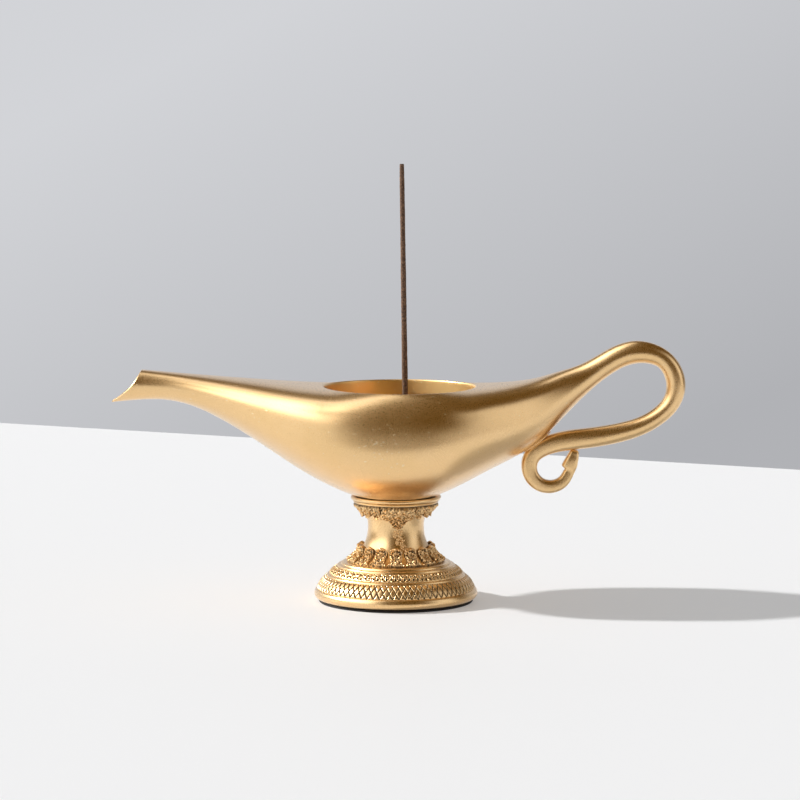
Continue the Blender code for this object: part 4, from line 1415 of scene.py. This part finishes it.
TABLE_HALF_WIDTH = 1.6
TABLE_FRONT = -0.43
TABLE_BACK_LEFT = 1.272
TABLE_BACK_RIGHT = -0.313
TABLE_COLOUR = (0.66, 0.66, 0.665)
TABLE_GLOW = 0.22
WALL_Y = 1.6
WALL_HALF_WIDTH = 3.0
WALL_BOTTOM = -1.5
WALL_TOP = 1.1
# Painted shade: the wall darkens along this direction, between the two places
WALL_SLOPE = (1.0, 0.0, -2.0)
WALL_FADE = (-0.6, 0.5)
WALL_LIGHT = (0.648, 0.657, 0.684)
WALL_PAINTED_SHADE = (0.440, 0.446, 0.468)
ROOM = (0.31, 0.31, 0.31)
ROOM_IN_METAL = (0.12, 0.068, 0.008)
PAST_THE_STAGE = (0.52, 0.525, 0.54)
# Soft cards in the room: degrees to the right of the front where each begins, is full, stops being full
# and ends, the same for degrees above the horizon, and the radiance
CARDS = (
    ((-92.0, -78.0, -36.0, -14.0), (-30.0, -20.0, 8.0, 20.0), 0.88),
    ((-190.0, -175.0, -62.0, -48.0), (56.0, 64.0, 73.0, 86.0), 1.7),
    ((-124.0, -110.0, -54.0, -38.0), (38.0, 48.0, 64.0, 76.0), 2.9),
    ((-124.0, -110.0, -44.0, -26.0), (8.0, 20.0, 38.0, 50.0), 2.7),
    ((46.0, 66.0, 88.0, 98.0), (-8.0, 2.0, 36.0, 48.0), 1.0),
    ((16.0, 30.0, 88.0, 98.0), (-30.0, -20.0, -10.0, 0.0), 0.95),
)
KEY_STRENGTH = 3.9
KEY_ANGLE = math.radians(3.0)
# From the front to the left, and above the horizon
KEY_TURN = math.radians(95.0)
KEY_CLIMB = math.radians(33.0)
CAMERA_PLACE = (0.0015, -1.150, 0.194)
CAMERA_AIM = (0.0015, 0.0, 0.0741)
CAMERA_LENS = 142.2
CAMERA_SENSOR = 36.0


def flat_stage(name, corners, material):
    mesh = bpy.data.meshes.new(name)
    mesh.from_pydata(corners, [], [tuple(range(len(corners)))])
    mesh.materials.append(material)
    made = placed(name, mesh)


def table_material():
    """A pale table that glows a little for the camera and in metal, but gives no more light to the lamp."""
    material, graph, inputs = new_material("pale table", TABLE_COLOUR, 0.6, 0.0)
    inputs["Specular IOR Level"].default_value = 0.15
    inputs["Emission Color"].default_value = (1.0, 1.0, 1.0, 1.0)
    path = graph.nodes.new("ShaderNodeLightPath")
    seen = path.outputs["Is Camera Ray"]
    for ray in ("Is Glossy Ray", "Is Transmission Ray"):
        seen = graph.calc("MAXIMUM", seen, path.outputs[ray])
    graph.link(graph.remap(seen, 0.0, 1.0, 0.0, TABLE_GLOW), inputs["Emission Strength"])
    return material


def wall_material():
    """A grey wall that glows with its own light, with painted shade that darkens it towards the lower
    right.
    """
    material = bpy.data.materials.new("grey wall")
    material.use_nodes = True
    graph = Graph(material.node_tree)
    graph.nodes.clear()
    slope = graph.nodes.new("ShaderNodeVectorMath")
    slope.operation = "DOT_PRODUCT"
    slope.inputs[1].default_value = WALL_SLOPE
    graph.link(graph.place(), slope.inputs[0])
    share = graph.remap(slope.outputs["Value"], *WALL_FADE)
    light = graph.nodes.new("ShaderNodeEmission")
    graph.link(graph.mix(share, WALL_LIGHT, WALL_PAINTED_SHADE), light.inputs["Color"])
    out = graph.nodes.new("ShaderNodeOutputMaterial")
    graph.link(light.outputs[0], out.inputs["Surface"])
    return material


def make_stage():
    table = [(side * TABLE_HALF_WIDTH, TABLE_FRONT, 0.0) for side in (-1, 1)]
    table += [(TABLE_HALF_WIDTH, TABLE_BACK_RIGHT, 0.0), (-TABLE_HALF_WIDTH, TABLE_BACK_LEFT, 0.0)]
    flat_stage("table", table, table_material())
    wall = [(side * WALL_HALF_WIDTH, WALL_Y, WALL_BOTTOM) for side in (-1, 1)]
    wall += [(side * WALL_HALF_WIDTH, WALL_Y, WALL_TOP) for side in (1, -1)]
    flat_stage("wall", wall, wall_material())


def make_world():
    """A dim room whose soft cards show only in metal; the camera sees plain grey past the stage."""
    world = bpy.data.worlds.new("room")
    world.use_nodes = True
    graph = Graph(world.node_tree)
    x, y, z = graph.split(graph.nodes.new("ShaderNodeTexCoord").outputs["Generated"])
    turn = graph.calc("ARCTAN2", x, graph.calc("MULTIPLY", y, -1.0))
    climb = graph.calc("ARCSINE", z)
    path = graph.nodes.new("ShaderNodeLightPath")
    colour = ROOM_IN_METAL
    for turns, climbs, radiance in CARDS:
        share = 1.0
        for angle, edges in ((turn, turns), (climb, climbs)):
            fade_in, fade_out = edges[:2], edges[:1:-1]
            for start, end in (fade_in, fade_out):
                ramp = graph.remap(angle, math.radians(start), math.radians(end))
                share = graph.calc("MULTIPLY", share, ramp)
        colour = graph.mix(share, colour, (radiance, radiance, radiance))
    colour = graph.mix(path.outputs["Is Glossy Ray"], ROOM, colour)
    colour = graph.mix(path.outputs["Is Camera Ray"], colour, PAST_THE_STAGE)
    graph.link(colour, graph.nodes["Background"].inputs["Color"])
    bpy.context.scene.world = world


def make_key_light():
    key = bpy.data.lights.new("key", "SUN")
    key.energy = KEY_STRENGTH
    key.angle = KEY_ANGLE
    towards = Vector((-math.sin(KEY_TURN), -math.cos(KEY_TURN), math.tan(KEY_CLIMB)))
    placed("key", key).rotation_euler = towards.to_track_quat("Z", "Y").to_euler()


def make_camera():
    data = bpy.data.cameras.new("camera")
    data.lens = CAMERA_LENS
    data.sensor_width = CAMERA_SENSOR
    camera = placed("camera", data)
    camera.location = CAMERA_PLACE
    camera.rotation_euler = (Vector(CAMERA_AIM) - camera.location).to_track_quat("-Z", "Y").to_euler()
    bpy.context.scene.camera = camera


def main():
    for old in [o for o in bpy.data.objects if o.type in ("LIGHT", "CAMERA")]:
        bpy.data.objects.remove(old)
    bpy.context.scene.view_settings.view_transform = "Standard"
    skin = gold_material("satin gold", False)
    carved = gold_material("antique gold", True)
    make_vessel(skin)
    make_handle(skin)
    make_seam(skin)
    make_foot(gold_material("smooth foot gold", False), carved)
    make_vine(carved)
    make_neck_ring(skin)
    make_pad(rubber_material())
    dish = brass_material("dish brass", 0.32)
    make_dish(dish)
    make_holder(brass_material("holder brass", 0.25))
    make_stick(incense_material())
    steel = steel_material()
    for node, material in (("foot_screw", steel), ("screw_washer", steel), ("holder_screw", dish)):
        for slot in frame["nodes"][node].material_slots:
            slot.material = material
    make_stage()
    make_world()
    make_key_light()
    make_camera()


main()
